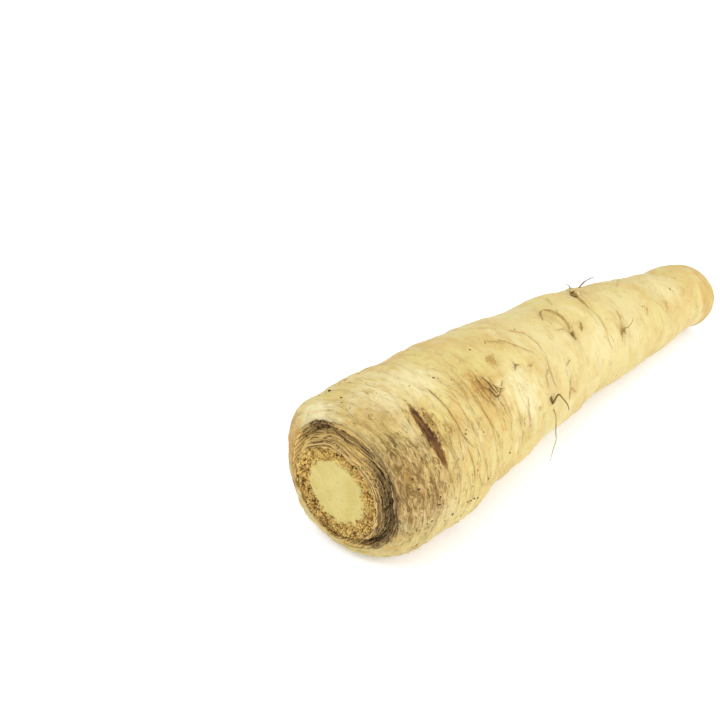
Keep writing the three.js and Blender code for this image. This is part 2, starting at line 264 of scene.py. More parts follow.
# Soft stains: place, half-length along the root and half-width around it in mm, strength, and hue
# as for the marks, with -1 for a pale clean patch and 2 for a patch of fine scratches.
Stain = namedtuple("Stain", "station turn reach width strength hue")
STAINS = [Stain(*row) for row in (
    (46.2, 128, 3.2, 5.0, 0.9, 2), (44.5, 126, 4.5, 6, 0.9, 0.0), (19, 130, 2.2, 6, 0.7, 2),
    (10, 172, 4, 6, 0.6, 2), (2, 158, 3, 8, 0.6, 2), (41, 31, 4, 6, 0.8, 2),
    (2, 156, 4, 13, 0.85, 0.55), (9, 172, 4, 5, 0.6, 0.6), (8, 148, 5, 8, 0.3, 0.2),
    (3, 112, 4, 7, 0.3, 0.1), (9, 99, 1.6, 2.4, 0.5, 0.0), (11, 98, 8, 10, 0.85, -1),
    (1, 12, 5, 13, 0.85, 0.0), (10.5, 128, 3, 9, 0.8, -1), (6, 182, 4, 5, 0.5, -1),
    (18.5, 132, 2.2, 9, 0.55, 0.15), (22, 139, 2, 3, 0.7, 0.2), (28, 148, 7, 12, 0.3, 0.0),
    (33, 166, 4, 6, 0.35, 0.0), (37, 126, 4, 5, 0.4, 0.1), (44, 130, 4, 9, 0.45, 0.2),
    (48, 130, 3, 6, 0.4, 0.4), (44, 104, 6, 5, 0.3, 0.0), (56, 114, 4, 3, 0.4, 0.0),
    (57, 176, 2.5, 5, 0.45, 0.0), (66, 103, 5, 4, 0.4, 0.0), (85, 172, 3, 4, 0.4, 0.0),
    (94, 99, 4, 4, 0.5, 0.0), (97, 127, 3, 3, 0.4, 0.4), (119, 148, 3, 4, 0.4, 0.1),
    (102, 124, 3, 3, 0.3, 0.1), (148, 146, 3, 5, 0.3, 0.0), (162, 132, 4, 6, 0.3, 0.0),
    (0.5, 62, 3.5, 11, 1.0, -1), (4, 101, 3, 5, 0.4, 0.1), (7, 106, 4, 6, 0.4, 0.0),
    (5, 162, 4, 12, 0.6, 0.5), (43, 124, 5, 7, 0.6, 0.0), (118, 82, 3, 4, 0.6, 0.1),
    (24, 98, 12, 11, 0.8, -1), (42, 134, 3, 6, 0.5, 0.0), (84, 130, 12, 12, 0.6, -1),
    (128, 130, 10, 10, 0.6, -1), (152, 115, 9, 8, 0.7, -1), (60, 150, 11, 12, 0.8, -1),
    (108, 150, 12, 10, 0.7, -1), (75, 108, 9, 8, 0.5, -1), (40, 30, 7, 8, 0.4, 0.3),
    (80, 8, 6, 8, 0.4, 0.2), (20, -20, 9, 14, 0.45, 0.4), (60, -40, 9, 12, 0.35, 0.3),
    (105, -20, 8, 8, 0.35, 0.1), (135, 30, 8, 8, 0.3, 0.0),
)]

# Specks of soil that stick to the skin: (station, turn, size in mm)
SPECKS = [
    (8.5, 59, 1.0), (5.5, 74, 0.6), (4.0, 78, 0.5), (2.0, 86, 0.35), (32.3, 103, 0.7),
    (53.2, 98, 0.6), (37.2, 110.5, 0.4), (27.5, 147, 0.6), (28.4, 145, 0.5), (9.4, 178, 0.5),
    (10.0, 173, 0.6), (12.6, 166, 0.5), (6.2, 188, 0.5), (13.2, 196, 0.5), (16.6, 195, 0.8),
    (22.4, 191, 0.5), (24.6, 193, 0.5), (27.0, 195, 0.6), (28.6, 196, 0.7), (33.6, 187, 0.5),
    (47.2, 184, 0.6), (2.6, 160, 0.7), (1.2, 151, 0.5), (61.2, 98, 0.5), (62.0, 96, 0.4),
    (76.8, 98, 0.35), (43.0, 20, 0.6), (31.0, 40, 0.5), (57.0, 10, 0.5), (74.0, -20, 0.5),
]

# Loose flakes of skin: (station, turn, length and width in mm, heading in degrees from the root's
# length, lift in mm)
FLAKES = [
    (13.4, 124, 2.0, 0.5, 86, 0.2), (13.3, 140, 2.4, 0.5, 92, 0.2),
    (16.2, 131, 1.8, 0.45, 88, 0.12), (16.3, 146, 1.6, 0.45, 94, 0.12),
    (51.2, 134.5, 4.4, 0.9, 152, 0.6), (49.6, 126, 1.8, 0.5, 100, 0.2),
    (97.6, 127, 1.6, 0.6, 60, 0.3), (117.4, 149, 2.2, 0.8, 80, 0.4), (115.4, 84, 3.0, 1.1, 96, 0.5),
    (118.0, 74, 2.4, 0.9, 110, 0.4), (72.0, 166, 1.6, 0.8, 70, 0.3), (41.5, 30, 2.2, 0.8, 84, 0.3),
]

# Side rootlets, hair-thin: where each leaves the skin, its thickness there, and its way as steps
# (along the root, away from the axis, up) from that place.
ROOTLET_ROOTING = 1.2
Rootlet = namedtuple("Rootlet", "station turn thick shade steps")
ROOTLETS = [Rootlet(*row) for row in (
    (72.5, 176, 0.5, 0.9,
     [(-0.6, 1.5, -2.2), (-1.8, 2.5, -6.2), (-2.1, 3, -9), (-3.2, 2.8, -12.4), (-3.9, 2.5, -16.7)]),
    (72, 170, 0.8, 0.2,
     [(1, 0.8, 2.4), (1.6, 1.2, 2.6), (3.1, 1.6, 0.5), (5.6, 1.8, -2.9), (7.1, 1.6, -6.1)]),
    (124, 68, 0.75, 0.4, [(3.2, 0.8, -0.2), (6.4, 1.1, -0.8), (10, 1.2, -1.6)]),
    (121, 64, 0.5, 0.6, [(-0.1, 1, 0.3), (-0.8, 1.7, 0.5), (-1.8, 2, 0.3)]),
    (120, 146, 0.5, 0.7, [(1.2, 0.9, -0.3), (2.8, 1.3, 0.6), (3.6, 1.2, 2)]),
    (88, 8, 0.6, 0.5, [(1.5, 1.6, -0.6), (4.6, 2.4, -3), (6.4, 2.2, -6.5)]),
)]


def smooth(value, low, high):
    share = np.clip((value - low) / (high - low), 0, 1)
    return share * share * (3 - 2 * share)


def bell(value):
    return np.exp(-(value**2))


def around(table, turn):
    """Reads a closed table of (degrees, value) rows at each turn, with its corners rounded off."""
    angles = [row[0] for row in table]
    values = [row[1] for row in table]
    offsets = (-12, -6, 0, 6, 12)
    degrees = np.degrees(turn)
    read = sum(np.interp(degrees + offset, angles, values, period=360) for offset in offsets)
    return read / len(offsets)


def towards(turn, degrees, spread):
    """1 in one direction around the girth, fading out over spread radians to each side."""
    return bell(between(turn, math.radians(degrees)) / spread)


def between(turn, other):
    """The angle from one direction around the girth to another, between -pi and pi."""
    return np.arctan2(np.sin(turn - other), np.cos(turn - other))


# Shape of the body --------------------------------------------------------------------------------


def girth(station):
    share = np.clip(station / BODY_LENGTH, 0, 1)
    flare = TIP_FLARE * bell((share - FLARE_AT) / FLARE_REACH)
    return TIP_RADIUS + (SHOULDER_RADIUS - TIP_RADIUS) * (1 - share**TAPER_POWER) + flare


def sideways(station):
    share = np.clip(station / BODY_LENGTH, 0, 1)
    past = np.maximum(0, share - BEND_START) / (1 - BEND_START)
    return BOW * np.sin(np.pi * share) - SIDE_BEND * past**1.6


def axis_height(station):
    return girth(station) - REST_SINK + TIP_LIFT * smooth(station / BODY_LENGTH, 0.8, 1)


def swelling(station, turn):
    oval = 0.3 * np.sin(2 * turn + station / 250)
    lumps = 0.4 * np.sin(station / 8.5 + 0.9 * np.sin(turn + 0.5))
    knots = 0.3 * np.sin(station / 4.6 + 1.4 * np.cos(turn - 1.1) + 2)
    return oval + lumps + knots


def lumping(station, turn):
    total = np.zeros_like(station)
    for lump in LUMPS:
        aside = between(turn, math.radians(lump.turn)) / math.radians(lump.spread)
        total += lump.rise * bell(aside) * bell((station - lump.station) / lump.reach)
    return total


def creasing(station, turn):
    total = np.zeros_like(station)
    for crease in CREASES:
        aside = between(turn, math.radians(crease.turn))
        fade = np.exp(-((aside / math.radians(crease.spread)) ** 4))
        along = station - crease.station - crease.drift * aside
        ledge = bell((along + LEDGE_WIDTH) / LEDGE_WIDTH)
        total += crease.depth * fade * (0.6 * ledge - bell(along / CREASE_WIDTH))
    return total


def grown(station, radius, turn, relief=0.0):
    """Where places of the plain outline go, once the root's bends, lumps and relief are in them."""
    skin = smooth(radius / girth(station), 0.55, 0.95)
    big = swelling(station, turn) + lumping(station, turn) + creasing(station, turn)
    swollen = radius + skin * big + relief
    crown = (1 - smooth(station, 2, 26)) * (1 - smooth(radius, STUB_RADIUS, SHOULDER_RADIUS))
    height = swollen * np.sin(turn)
    facing = 0.5 + 0.5 * np.cos(turn - SKEW_TURN)
    short = TIP_SLANT * height + TIP_SKEW * facing**4 * (swollen / TIP_RADIUS)
    along = station - short * smooth(station / BODY_LENGTH, 0.93, 1)
    across = sideways(station) + swollen * np.cos(turn) + STUB_ASIDE * crown
    return np.stack(
        [along, across, np.maximum(0, axis_height(station) + height - STUB_DROP * crown)], 1
    )


# From an outline to a mesh ------------------------------------------------------------------------


def line(start, end, steps):
    return [
        tuple(np.array(start) + (np.array(end) - start) * i / steps) for i in range(1, steps + 1)
    ]


def rounding(start, end, steps, along_first):
    """A quarter of an ellipse from start to end, leaving along the root or across it."""
    points = []
    for i in range(1, steps + 1):
        angle = i / steps * math.pi / 2
        share = (math.sin(angle), 1 - math.cos(angle))
        along, across = share if along_first else share[::-1]
        points.append(
            (start[0] + (end[0] - start[0]) * along, start[1] + (end[1] - start[1]) * across)
        )
    return points


def body_outline():
    """Half outline: out of the crown's hollow, over the shoulder, down the taper, round the tip."""
    points = [(HOLLOW_DEPTH, 0), (HOLLOW_DEPTH, HOLLOW_RADIUS / 2), (HOLLOW_DEPTH, HOLLOW_RADIUS)]
    points += line(points[-1], (1.4, HOLLOW_RADIUS + 0.7), 3)
    points += rounding(points[-1], (LIP_INSET, LIP_RADIUS), 5, True)
    points += rounding(points[-1], (SHOULDER_REACH, float(girth(SHOULDER_REACH))), 46, False)
    body_end = BODY_LENGTH - TIP_EDGE
    station = SHOULDER_REACH
    while station < body_end - TIP_RING:
        station += CROWN_RING + (TIP_RING - CROWN_RING) * station / BODY_LENGTH
        points.append((station, float(girth(station))))
    points += rounding(
        (body_end, float(girth(body_end))), (BODY_LENGTH, TIP_RADIUS - TIP_EDGE), 12, True
    )
    points += line(points[-1], (BODY_LENGTH - 0.3, 0), 16)
    return points


def stub_outline():
    """Half outline: across the cut face, down the ridged neck, through the furrow, up to the lip's
    top and closed inside the flesh."""
    points = [(-STUB_RISE + 0.3, 0)]
    points += line(points[-1], (-STUB_RISE, CORE_RADIUS - 1.2), 24)
    points += line(points[-1], (-STUB_RISE + 0.1, STUB_RADIUS - 0.4), 42)
    points += rounding(points[-1], (-STUB_RISE + 1, STUB_RADIUS + 0.4), 9, False)
    start, bend = np.array(points[-1]), np.array((FURROW_DEPTH - 0.8, STUB_RADIUS + 1.0))
    end = np.array((FURROW_DEPTH, FURROW_RADIUS - 0.2))
    for i in range(1, 39):
        share = i / 38
        place = (1 - share) ** 2 * start + 2 * share * (1 - share) * bend + share**2 * end
        points.append(tuple(place))
    points += line(points[-1], (0.9, 18.2), 12)
    points += line(points[-1], (0.28, 18.7), 6)
    points += line(points[-1], (0.2, HUSK_RADIUS), 3)
    points += line(points[-1], (0.42, HUSK_RADIUS + 0.22), 2)
    points += line(points[-1], (1.2, HUSK_RADIUS + 0.35), 2)
    points += line(points[-1], (STUB_FOOT, HUSK_RADIUS + 0.4), 2)
    points += line(points[-1], (STUB_FOOT, 0), 2)
    return points


def lengths(outline):
    """Distance travelled along an outline to each of its points, in mm."""
    steps = [math.dist(here, there) for here, there in zip(outline, outline[1:])]
    return np.concatenate([[0], np.cumsum(steps)])


def spun(name, outline, segments):
    """A closed mesh of revolution about X, from a half outline of (station, radius) places. Its
    "run" says how far along the outline a point is."""
    shape = bmesh.new()
    run = shape.verts.layers.float.new("run")
    dots = [shape.verts.new((station, 0, radius)) for station, radius in outline]
    for dot, travelled in zip(dots, lengths(outline)):
        dot[run] = travelled
    edges = [shape.edges.new(pair) for pair in zip(dots, dots[1:])]
    bmesh.ops.spin(
        shape, geom=dots + edges, cent=(0, 0, 0), axis=(1, 0, 0),
        angle=math.tau, steps=segments, use_merge=True,
    )
    bmesh.ops.remove_doubles(shape, verts=shape.verts, dist=1e-4)
    bmesh.ops.recalc_face_normals(shape, faces=shape.faces)
    return mesh_of(shape, name)


def places(mesh):
    """Station, radius, turn, run, flattened place, and outward direction along X and off the axis,
    of each vertex on the plain outline."""
    count = len(mesh.vertices)
    at, normal, run = np.empty(count * 3), np.empty(count * 3), np.empty(count)
    mesh.vertices.foreach_get("co", at)
    mesh.vertex_normals.foreach_get("vector", normal)
    mesh.attributes["run"].data.foreach_get("value", run)
    at, normal = at.reshape(-1, 3), normal.reshape(-1, 3)
    turn = np.arctan2(at[:, 2], at[:, 1])
    outward = normal[:, 1] * np.cos(turn) + normal[:, 2] * np.sin(turn)
    flat = np.stack([run, at[:, 1], at[:, 2]], 1)
    return at[:, 0], np.hypot(at[:, 1], at[:, 2]), turn, run, flat, normal[:, 0], outward


def cloud(points, grain, seed, octaves=3):
    """Smooth noise between about -1 and 1 at points in mm; grain is its size in mm on each axis."""
    moved = points / np.asarray(grain, dtype=float) + 17.3 * seed
    return np.array([noise.fractal(p, 1.0, 2.0, octaves) for p in moved.tolist()])


def pebbles(points, size, seed):
    """Rounded lumps packed side by side: 1 in the middle of each and 0 in the gaps."""
    moved = points / size + 5.1 * seed
    nearest = [noise.voronoi(p)[0] for p in moved.tolist()]
    return np.array([min(1.0, (d[1] - d[0]) * 1.6) for d in nearest])


def keep_numbers(mesh, **numbers):
    """Keeps a number for each vertex under each name, for the finish to read."""
    for name, values in numbers.items():
        layer = mesh.attributes.new(name, "FLOAT", "POINT")
        layer.data.foreach_set("value", np.asarray(values, dtype=np.float32))


def push_out(at, turn, push):
    at[:, 1] += push * np.cos(turn)
    at[:, 2] += push * np.sin(turn)


def mesh_of(shape, name):
    """The finished bmesh as a mesh; the bmesh is freed."""
    mesh = bpy.data.meshes.new(name)
    shape.to_mesh(mesh)
    shape.free()
    return mesh


def move_to(mesh, at_mm):
    """Writes vertices given in the outline's frame, in mm, into the CAD frame, in metres."""
    placed = (at_mm + SHIFT) * MM
    placed[:, 2] = np.maximum(placed[:, 2], 0)
    mesh.vertices.foreach_set("co", placed.astype(np.float32).ravel())
    mesh.update()


def piece(name, mesh, material):
    obj = bpy.data.objects.new(name, mesh)
    bpy.context.scene.collection.objects.link(obj)
    mesh.materials.append(material)
    mesh.polygons.foreach_set("use_smooth", np.ones(len(mesh.polygons), dtype=bool))
    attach(obj, "root")
    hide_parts("parsley_root")
    return obj


# Marks on the skin --------------------------------------------------------------------------------


def beside(path, station, turn):
    """How far each place is from a path on the skin, in mm and with its sign, and where along the
    path it is nearest, from 0 to 1."""
    stations = np.array([p[0] for p in path], dtype=float)
    turns = np.radians([p[1] for p in path])
    middle = turns.mean()
    size = float(girth(stations.mean()))
    along = stations
    aside = (turns - middle) * size
    across = between(turn, middle) * size
    steps = np.hypot(np.diff(along), np.diff(aside))
    travelled = np.concatenate([[0], np.cumsum(steps)])
    best = np.full(len(station), 1e9)
    side = np.full(len(station), 1e9)
    share = np.zeros(len(station))
    for i, length in enumerate(steps):
        du, dv = along[i + 1] - along[i], aside[i + 1] - aside[i]
        part = np.clip(((station - along[i]) * du + (across - aside[i]) * dv) / length**2, 0, 1)
        off_u = station - along[i] - part * du
        off_v = across - aside[i] - part * dv
        distance = np.hypot(off_u, off_v)
        near = distance < best
        sign = np.where(off_u * abs(dv) - off_v * du * np.sign(dv) < 0, -1, 1)
        best[near] = distance[near]
        side[near] = (distance * sign)[near]
        share[near] = ((travelled[i] + part * length) / travelled[-1])[near]
    return side, share


class Skin:
    """Gathers what marks do to the skin: its relief, and the lines that the finish draws crisply.
    A line is kept as side, the distance to its middle in half-widths, with ink, its darkness."""

    def __init__(self, station, turn):
        self.station, self.turn = station, turn
        self.relief = np.zeros(len(station))
        self.side = np.full(len(station), 9.0)
        self.ink = np.zeros(len(station))
        self.hue = np.zeros(len(station))
        self.ridge = np.zeros(len(station))
        self.weight = np.zeros(len(station))

    def window(self, path):
        stations = [p[0] for p in path]
        turns = np.radians([p[1] for p in path])
        reach = MARK_REACH / 10 + (turns.max() - turns.min()) / 2
        near = self.station > min(stations) - MARK_REACH
        near &= self.station < max(stations) + MARK_REACH
        return np.flatnonzero(
            near & (np.abs(between(self.turn, (turns.max() + turns.min()) / 2)) < reach)
        )

    def draw(self, mark):
        rows = self.window(mark.path)
        if len(rows) == 0:
            return
        side, share = beside(mark.path, self.station[rows], self.turn[rows])
        taper = np.clip(np.sin(np.pi * share), 0, 1) ** (0.85 if mark.width > OPEN_WIDTH else 0.5)
        half = mark.width / 2 * (0.15 + 0.85 * taper)
        groove = -mark.depth * bell(side / (half + 0.25))
        lip = abs(mark.lip) * bell((side + np.sign(mark.lip) * (half + 0.9)) / 1.1)
        self.relief[rows] += (groove + lip) * taper
        limit = half * 2.2 + 0.6
        closeness = np.clip(1 - np.abs(side) / limit, 0, 1)
        better = closeness * taper > self.weight[rows]
        chosen = rows[better]
        self.weight[chosen] = (closeness * taper)[better]
        self.side[chosen] = (side / half)[better] * (-1 if mark.lip < 0 else 1)
        self.ink[chosen] = (mark.ink * np.minimum(1, taper * 2) * np.minimum(1, closeness * 4))[
            better
        ]
        self.hue[chosen] = mark.hue
        # how strongly the raised lip beside this mark gets a painted highlight
        self.ridge[chosen] = self.ink[chosen] * float(smooth(abs(mark.lip), 0.3, 0.6))


def random_wrinkles(count):
    """Short cross wrinkles, thicker and closer towards the crown."""
    wrinkles = []
    for _ in range(count):
        station = 1 + (BODY_LENGTH - 12) * rng.random() ** 1.5
        turn = rng.uniform(0, 360)
        half = math.degrees(rng.uniform(2.5, 9) / float(girth(station)))
        drift = rng.normal(0, 0.8)
        bend = rng.normal(0, 0.5)
        path = [
            (
                station + drift * step + bend * (1 - step * step) + rng.normal(0, 0.12),
                turn + half * step,
            )
            for step in (-1, -0.5, 0, 0.5, 1)
        ]
        crownward = 1 - station / BODY_LENGTH
        depth = rng.uniform(0.08, 0.2) + 0.1 * crownward
        ink = rng.uniform(0.1, 0.6) + 0.3 * crownward * rng.random()
        wrinkles.append(
            Mark(path, rng.uniform(0.3, 0.6), depth, depth * 0.8, ink, rng.uniform(0, 0.7))
        )
    return wrinkles


def staining(station, turn, points):
    """Brown, tan, pale and scratched shares of the skin from the stains, with ragged edges."""
    ragged = cloud(points, (1.8, 2.6, 2.6), 3, 4)
    brown = np.zeros(len(station))
    tan = np.zeros(len(station))
    pale = np.zeros(len(station))
    scored = np.zeros(len(station))
    for stain in STAINS:
        aside = between(turn, math.radians(stain.turn)) * girth(stain.station)
        reach = np.hypot((station - stain.station) / stain.reach, aside / stain.width)
        amount = stain.strength * smooth(1.35 - reach + 0.45 * ragged, 0, 1)
        if stain.hue < 0:
            pale = np.maximum(pale, amount)
        elif stain.hue > 1:
            scored = np.maximum(scored, amount)
        else:
            brown = np.maximum(brown, amount * stain.hue)
            tan = np.maximum(tan, amount * (1 - stain.hue))
    return brown, tan, pale, scored


def husk_shift(turn):
    """How far the lip and the husks' outer edge stand in or out of their plain circle."""
    return around(HUSK_EDGE, turn) - HUSK_RADIUS


def lip_waves(turn):
    """The lip's own ups and downs, the same for the skin and for the husks that lie against it."""
    ring = np.stack([np.zeros_like(turn), 18 * np.cos(turn), 18 * np.sin(turn)], 1)
    return 0.45 * cloud(ring, 6.0, 5, 3)


def make_body(material):
    mesh = spun("root_body", body_outline(), BODY_SEGMENTS)
    station, radius, turn, _, flat, facing, outward = places(mesh)
    marks, wrinkles = Skin(station, turn), Skin(station, turn)
    for mark in MARKS:
        marks.draw(mark)
    for mark in random_wrinkles(WRINKLE_COUNT):
        wrinkles.draw(mark)
    front = station < SHOULDER_REACH
    skin = np.where(
        front, smooth(radius, LIP_RADIUS, LIP_RADIUS + 1.5), 1 - smooth(station, 173, 175.5)
    )
    coarse = 1 - 0.65 * smooth(station, 20, 90)
    grain = coarse * (
        0.07 * cloud(flat, (0.9, 2.6, 2.6), 1, 4) + 0.12 * cloud(flat, (4.0, 7.0, 7.0), 2, 3)
    )
    relief = skin * (marks.relief + wrinkles.relief * (0.4 + 0.6 * coarse) + grain)
    at = grown(station, radius, turn, relief * outward)
    at[:, 0] += relief * facing
    at[:, 0] += lip_waves(turn) * smooth(radius, 16.5, 18) * (1 - smooth(radius, 20, 23.5)) * front
    push = husk_shift(turn) * smooth(radius, 5, 16) * (1 - smooth(radius, LIP_RADIUS, 24.5)) * front
    push_out(at, turn, push)
    face = (1 - front) * (1 - smooth(radius, 6, 9)) * (station > BODY_LENGTH - 1)
    at[:, 0] += face * 0.2 * cloud(flat, 2.5, 6, 4)
    move_to(mesh, at)
    brown, tan, pale, scored = staining(station, turn, flat)
    dirty_side = 0.08 + 0.92 * towards(turn, 158, 0.8)
    edge = radius - HUSK_RADIUS - 0.5 * cloud(flat, (1.0, 1.6, 1.6), 31, 3)
    # Painted shade on the lip just outside the husks, strongest about turn 122.
    dusky = 0.12 + 0.88 * towards(turn, 122, 0.5)
    end = station + 1.8 * cloud(flat, (5.0, 5.0, 5.0), 8, 4)
    end += 2.5 * towards(turn, 160, 0.7) - 1.5 * towards(turn, 100, 0.5)
    rough_side = towards(turn, 158, 0.75) + 0.7 * towards(turn, 335, 1.1)
    keep_numbers(
        mesh,
        line_side=marks.side,
        line_ink=marks.ink,
        line_hue=marks.hue,
        ridge=marks.ridge,
        wrinkle_side=wrinkles.side,
        wrinkle_ink=wrinkles.ink,
        # how deep the cross creases are, for the painted shade in them
        groove=np.clip(-creasing(station, turn) - 0.1, 0, 1),
        brown=brown,
        tan=tan,
        pale=pale,
        scored=scored,
        weather=(1 - smooth(station, 1, 25)) * dirty_side,
        tailward=smooth(station, 30, 80),
        lively=(1 - 0.8 * smooth(station, 25, 80)) * (0.36 + 0.64 * rough_side),
        husk_edge=front * (1 - smooth(edge, 0.1, 0.7)),
        gloom=around(GLOOM, turn) * front,
        dusk=front * (1 - smooth(edge, 0.4, 2.6)) * dusky,
        cut_tip=smooth(end, 167.5, 170.5) * (1 - front),
        tip_edge=smooth(end, 167.5, 169) * (1 - smooth(end, 169.5, 172)) * (1 - front),
        cut_face=(1 - front) * (1 - smooth(radius, 7.5, 9)) * (station > BODY_LENGTH - 3),
        spread=radius * (1 - front),
    )
    return piece("root_body", mesh, material)


# The crown ----------------------------------------------------------------------------------------


def layers(phase):
    """Thin sheets that overlap outwards, one for each whole step of phase: a slow rise to a sharp
    edge."""
    step = phase - np.floor(phase)
    return np.where(step < 0.8, (step / 0.8) ** 0.8, (1 - step) / 0.2)


def husk_phase(run, turn):
    """Counts the husk's sheets outwards from the crumbly ring, with their slow wander."""
    ring = np.stack([run, 17 * np.cos(turn), 17 * np.sin(turn)], 1)
    wander = 0.9 * cloud(ring, (9.0, 12.0, 12.0), 16, 2) + 0.2 * cloud(ring, (3.0, 4.5, 4.5), 17, 2)
    return (run - around(CRUMB_EDGE, turn)) / SHEET_GAP + wander


def make_stub(material):
    mesh = spun("crown_stub", stub_outline(), STUB_SEGMENTS)
    station, radius, turn, run, flat, facing, outward = places(mesh)
    solid = np.stack([station, flat[:, 1], flat[:, 2]], 1)
    shown = (station < STUB_FOOT - 2) & (radius < HUSK_RADIUS + 0.3)
    # How dark the husks are made, partly their own brown and partly painted shade in the furrow's
    # pockets and the outer band under the lip.
    late = smooth(run - around(DARK_FROM, turn), -0.6, 1.2)
    gloomy = around(GLOOM, turn) * (0.12 + 0.88 * late)
    edge = CORE_RADIUS - 0.3 + 0.6 * cloud(flat, 5.0, 11, 2) + 1.1 * cloud(flat, 1.5, 12, 3)
    core = 1 - smooth(radius, edge - 1.5, edge + 0.9)
    rim = around(CRUMB_EDGE, turn) + 1.1 * cloud(flat, 3.0, 13, 3)
    crumbly = (1 - core) * (1 - smooth(run, rim - 0.4, rim + 0.6))
    stones = pebbles(
        solid + 0.5 * np.stack([cloud(solid, 1.5, s, 2) for s in (41, 42, 43)], 1), 0.95, 14
    )
    crumbs = 0.5 * (stones - 0.5) + 0.9 * cloud(solid, 0.7, 15, 4) + 0.9 * cloud(solid, 2.1, 22, 3)
    neck = smooth(run, rim - 0.4, rim + 0.6) * shown
    sheets = layers(husk_phase(run, turn))
    broken = np.maximum(smooth(cloud(solid, (1.8, 3.2, 3.2), 18, 3), -0.6, 0.0), 1 - 1.2 * gloomy)
    sinking = around(POCKET, turn) * smooth(run, 16.6, 19.2) * (1 - smooth(radius, 17.8, 18.6))
    sinking = sinking * (1 + 0.4 * cloud(flat, 3.0, 19, 3)) * shown
    held = 1 - 0.7 * smooth(radius, 18.4, 18.9)
    rise = core * (0.16 * cloud(flat, 6.0, 20, 2) + 0.05 * cloud(flat, 0.9, 21, 3))
    rise += crumbly * held * (0.55 * crumbs - 0.25)
    rise += neck * held * (0.6 * sheets * broken + crumbs * (0.05 + 0.22 * gloomy))
    rise *= shown
    at = grown(station, radius, turn, rise * outward)
    at[:, 0] += rise * facing + sinking + lip_waves(turn) * smooth(radius, 16.5, 18)
    push = husk_shift(turn) * smooth(radius, STUB_RADIUS, 18.4) * (station < STUB_FOOT - 2)
    push += 0.3 * cloud(flat * (0, 1, 1), 1.4, 23, 3) * smooth(radius, 18.3, 18.7) * shown
    push_out(at, turn, push)
    move_to(mesh, at)
    warm_side = 0.55 + 0.45 * towards(turn, 80, 1.4)
    fringe = 1 - smooth(radius, edge + 0.3, edge + 0.8 + 1.6 * warm_side)
    keep_numbers(
        mesh,
        core=core,
        margin=(1 - core) * fringe * warm_side,
        crumbs=crumbs,
        # painted shade, strongest on the crown's underside and half as strong a little below -Y
        umber=towards(turn, 272, 0.9) + 0.5 * towards(turn, 190, 0.6),
        sheets=sheets * (0.25 + 0.75 * broken) + 0.15 * crumbs * gloomy,
        neck=neck,
        gloom=np.clip(gloomy + 0.25 * cloud(flat, (1.5, 4.5, 4.5), 24, 3) * (0.2 + late), 0, 1),
    )
    return piece("crown_stub", mesh, material)


# Thin strands and small grains --------------------------------------------------------------------


def strand_mesh(name, strands, shades, bevel_steps):
    """One closed mesh of thin round strands, each a list of (x, y, z, thickness) in mm, in the CAD
    frame. A strand whose ends have no thickness comes to a point there. Each has its own "shade"
    from 0, dark, to 1, light."""
    curve = bpy.data.curves.new(name, "CURVE")
    curve.dimensions = "3D"
    curve.bevel_depth = MM / 2
    curve.bevel_resolution = bevel_steps
    for strand in strands:
        spline = curve.splines.new("POLY")
        spline.points.add(len(strand) - 1)
        for point, (x, y, z, thick) in zip(spline.points, strand):
            point.co = (x * MM, y * MM, z * MM, 1)
            point.radius = thick
    holder = bpy.data.objects.new(name, curve)
    mesh = bpy.data.meshes.new_from_object(holder)
    bpy.data.objects.remove(holder)
    ring = len(mesh.vertices) // sum(len(strand) for strand in strands)
    keep_numbers(mesh, shade=np.repeat(shades, [ring * len(strand) for strand in strands]))
    shape = bmesh.new()
    shape.from_mesh(mesh)
    bmesh.ops.remove_doubles(shape, verts=shape.verts, dist=2e-6)
    bmesh.ops.recalc_face_normals(shape, faces=shape.faces)
    shape.to_mesh(mesh)
    shape.free()
    return mesh


def surface_of(obj):
    mesh = obj.data
    return BVHTree.FromPolygons(
        [v.co for v in mesh.vertices], [tuple(p.vertices) for p in mesh.polygons]
    )


def on_crown(surface, radius, turn, lift):
    """The place that far in front of the crown, for a radius and turn about the stub's middle."""
    station, size, angle = np.array([0.0]), np.array([float(radius)]), np.array([float(turn)])
    at = (grown(station, size, angle)[0] + SHIFT) * MM
    hit = surface.ray_cast(Vector((CAD_LOW.x - 0.01, at[1], at[2])), Vector((1, 0, 0)), 0.03)[0]
    if hit is None:
        return None
    return (hit.x / MM - lift, hit.y / MM, hit.z / MM)


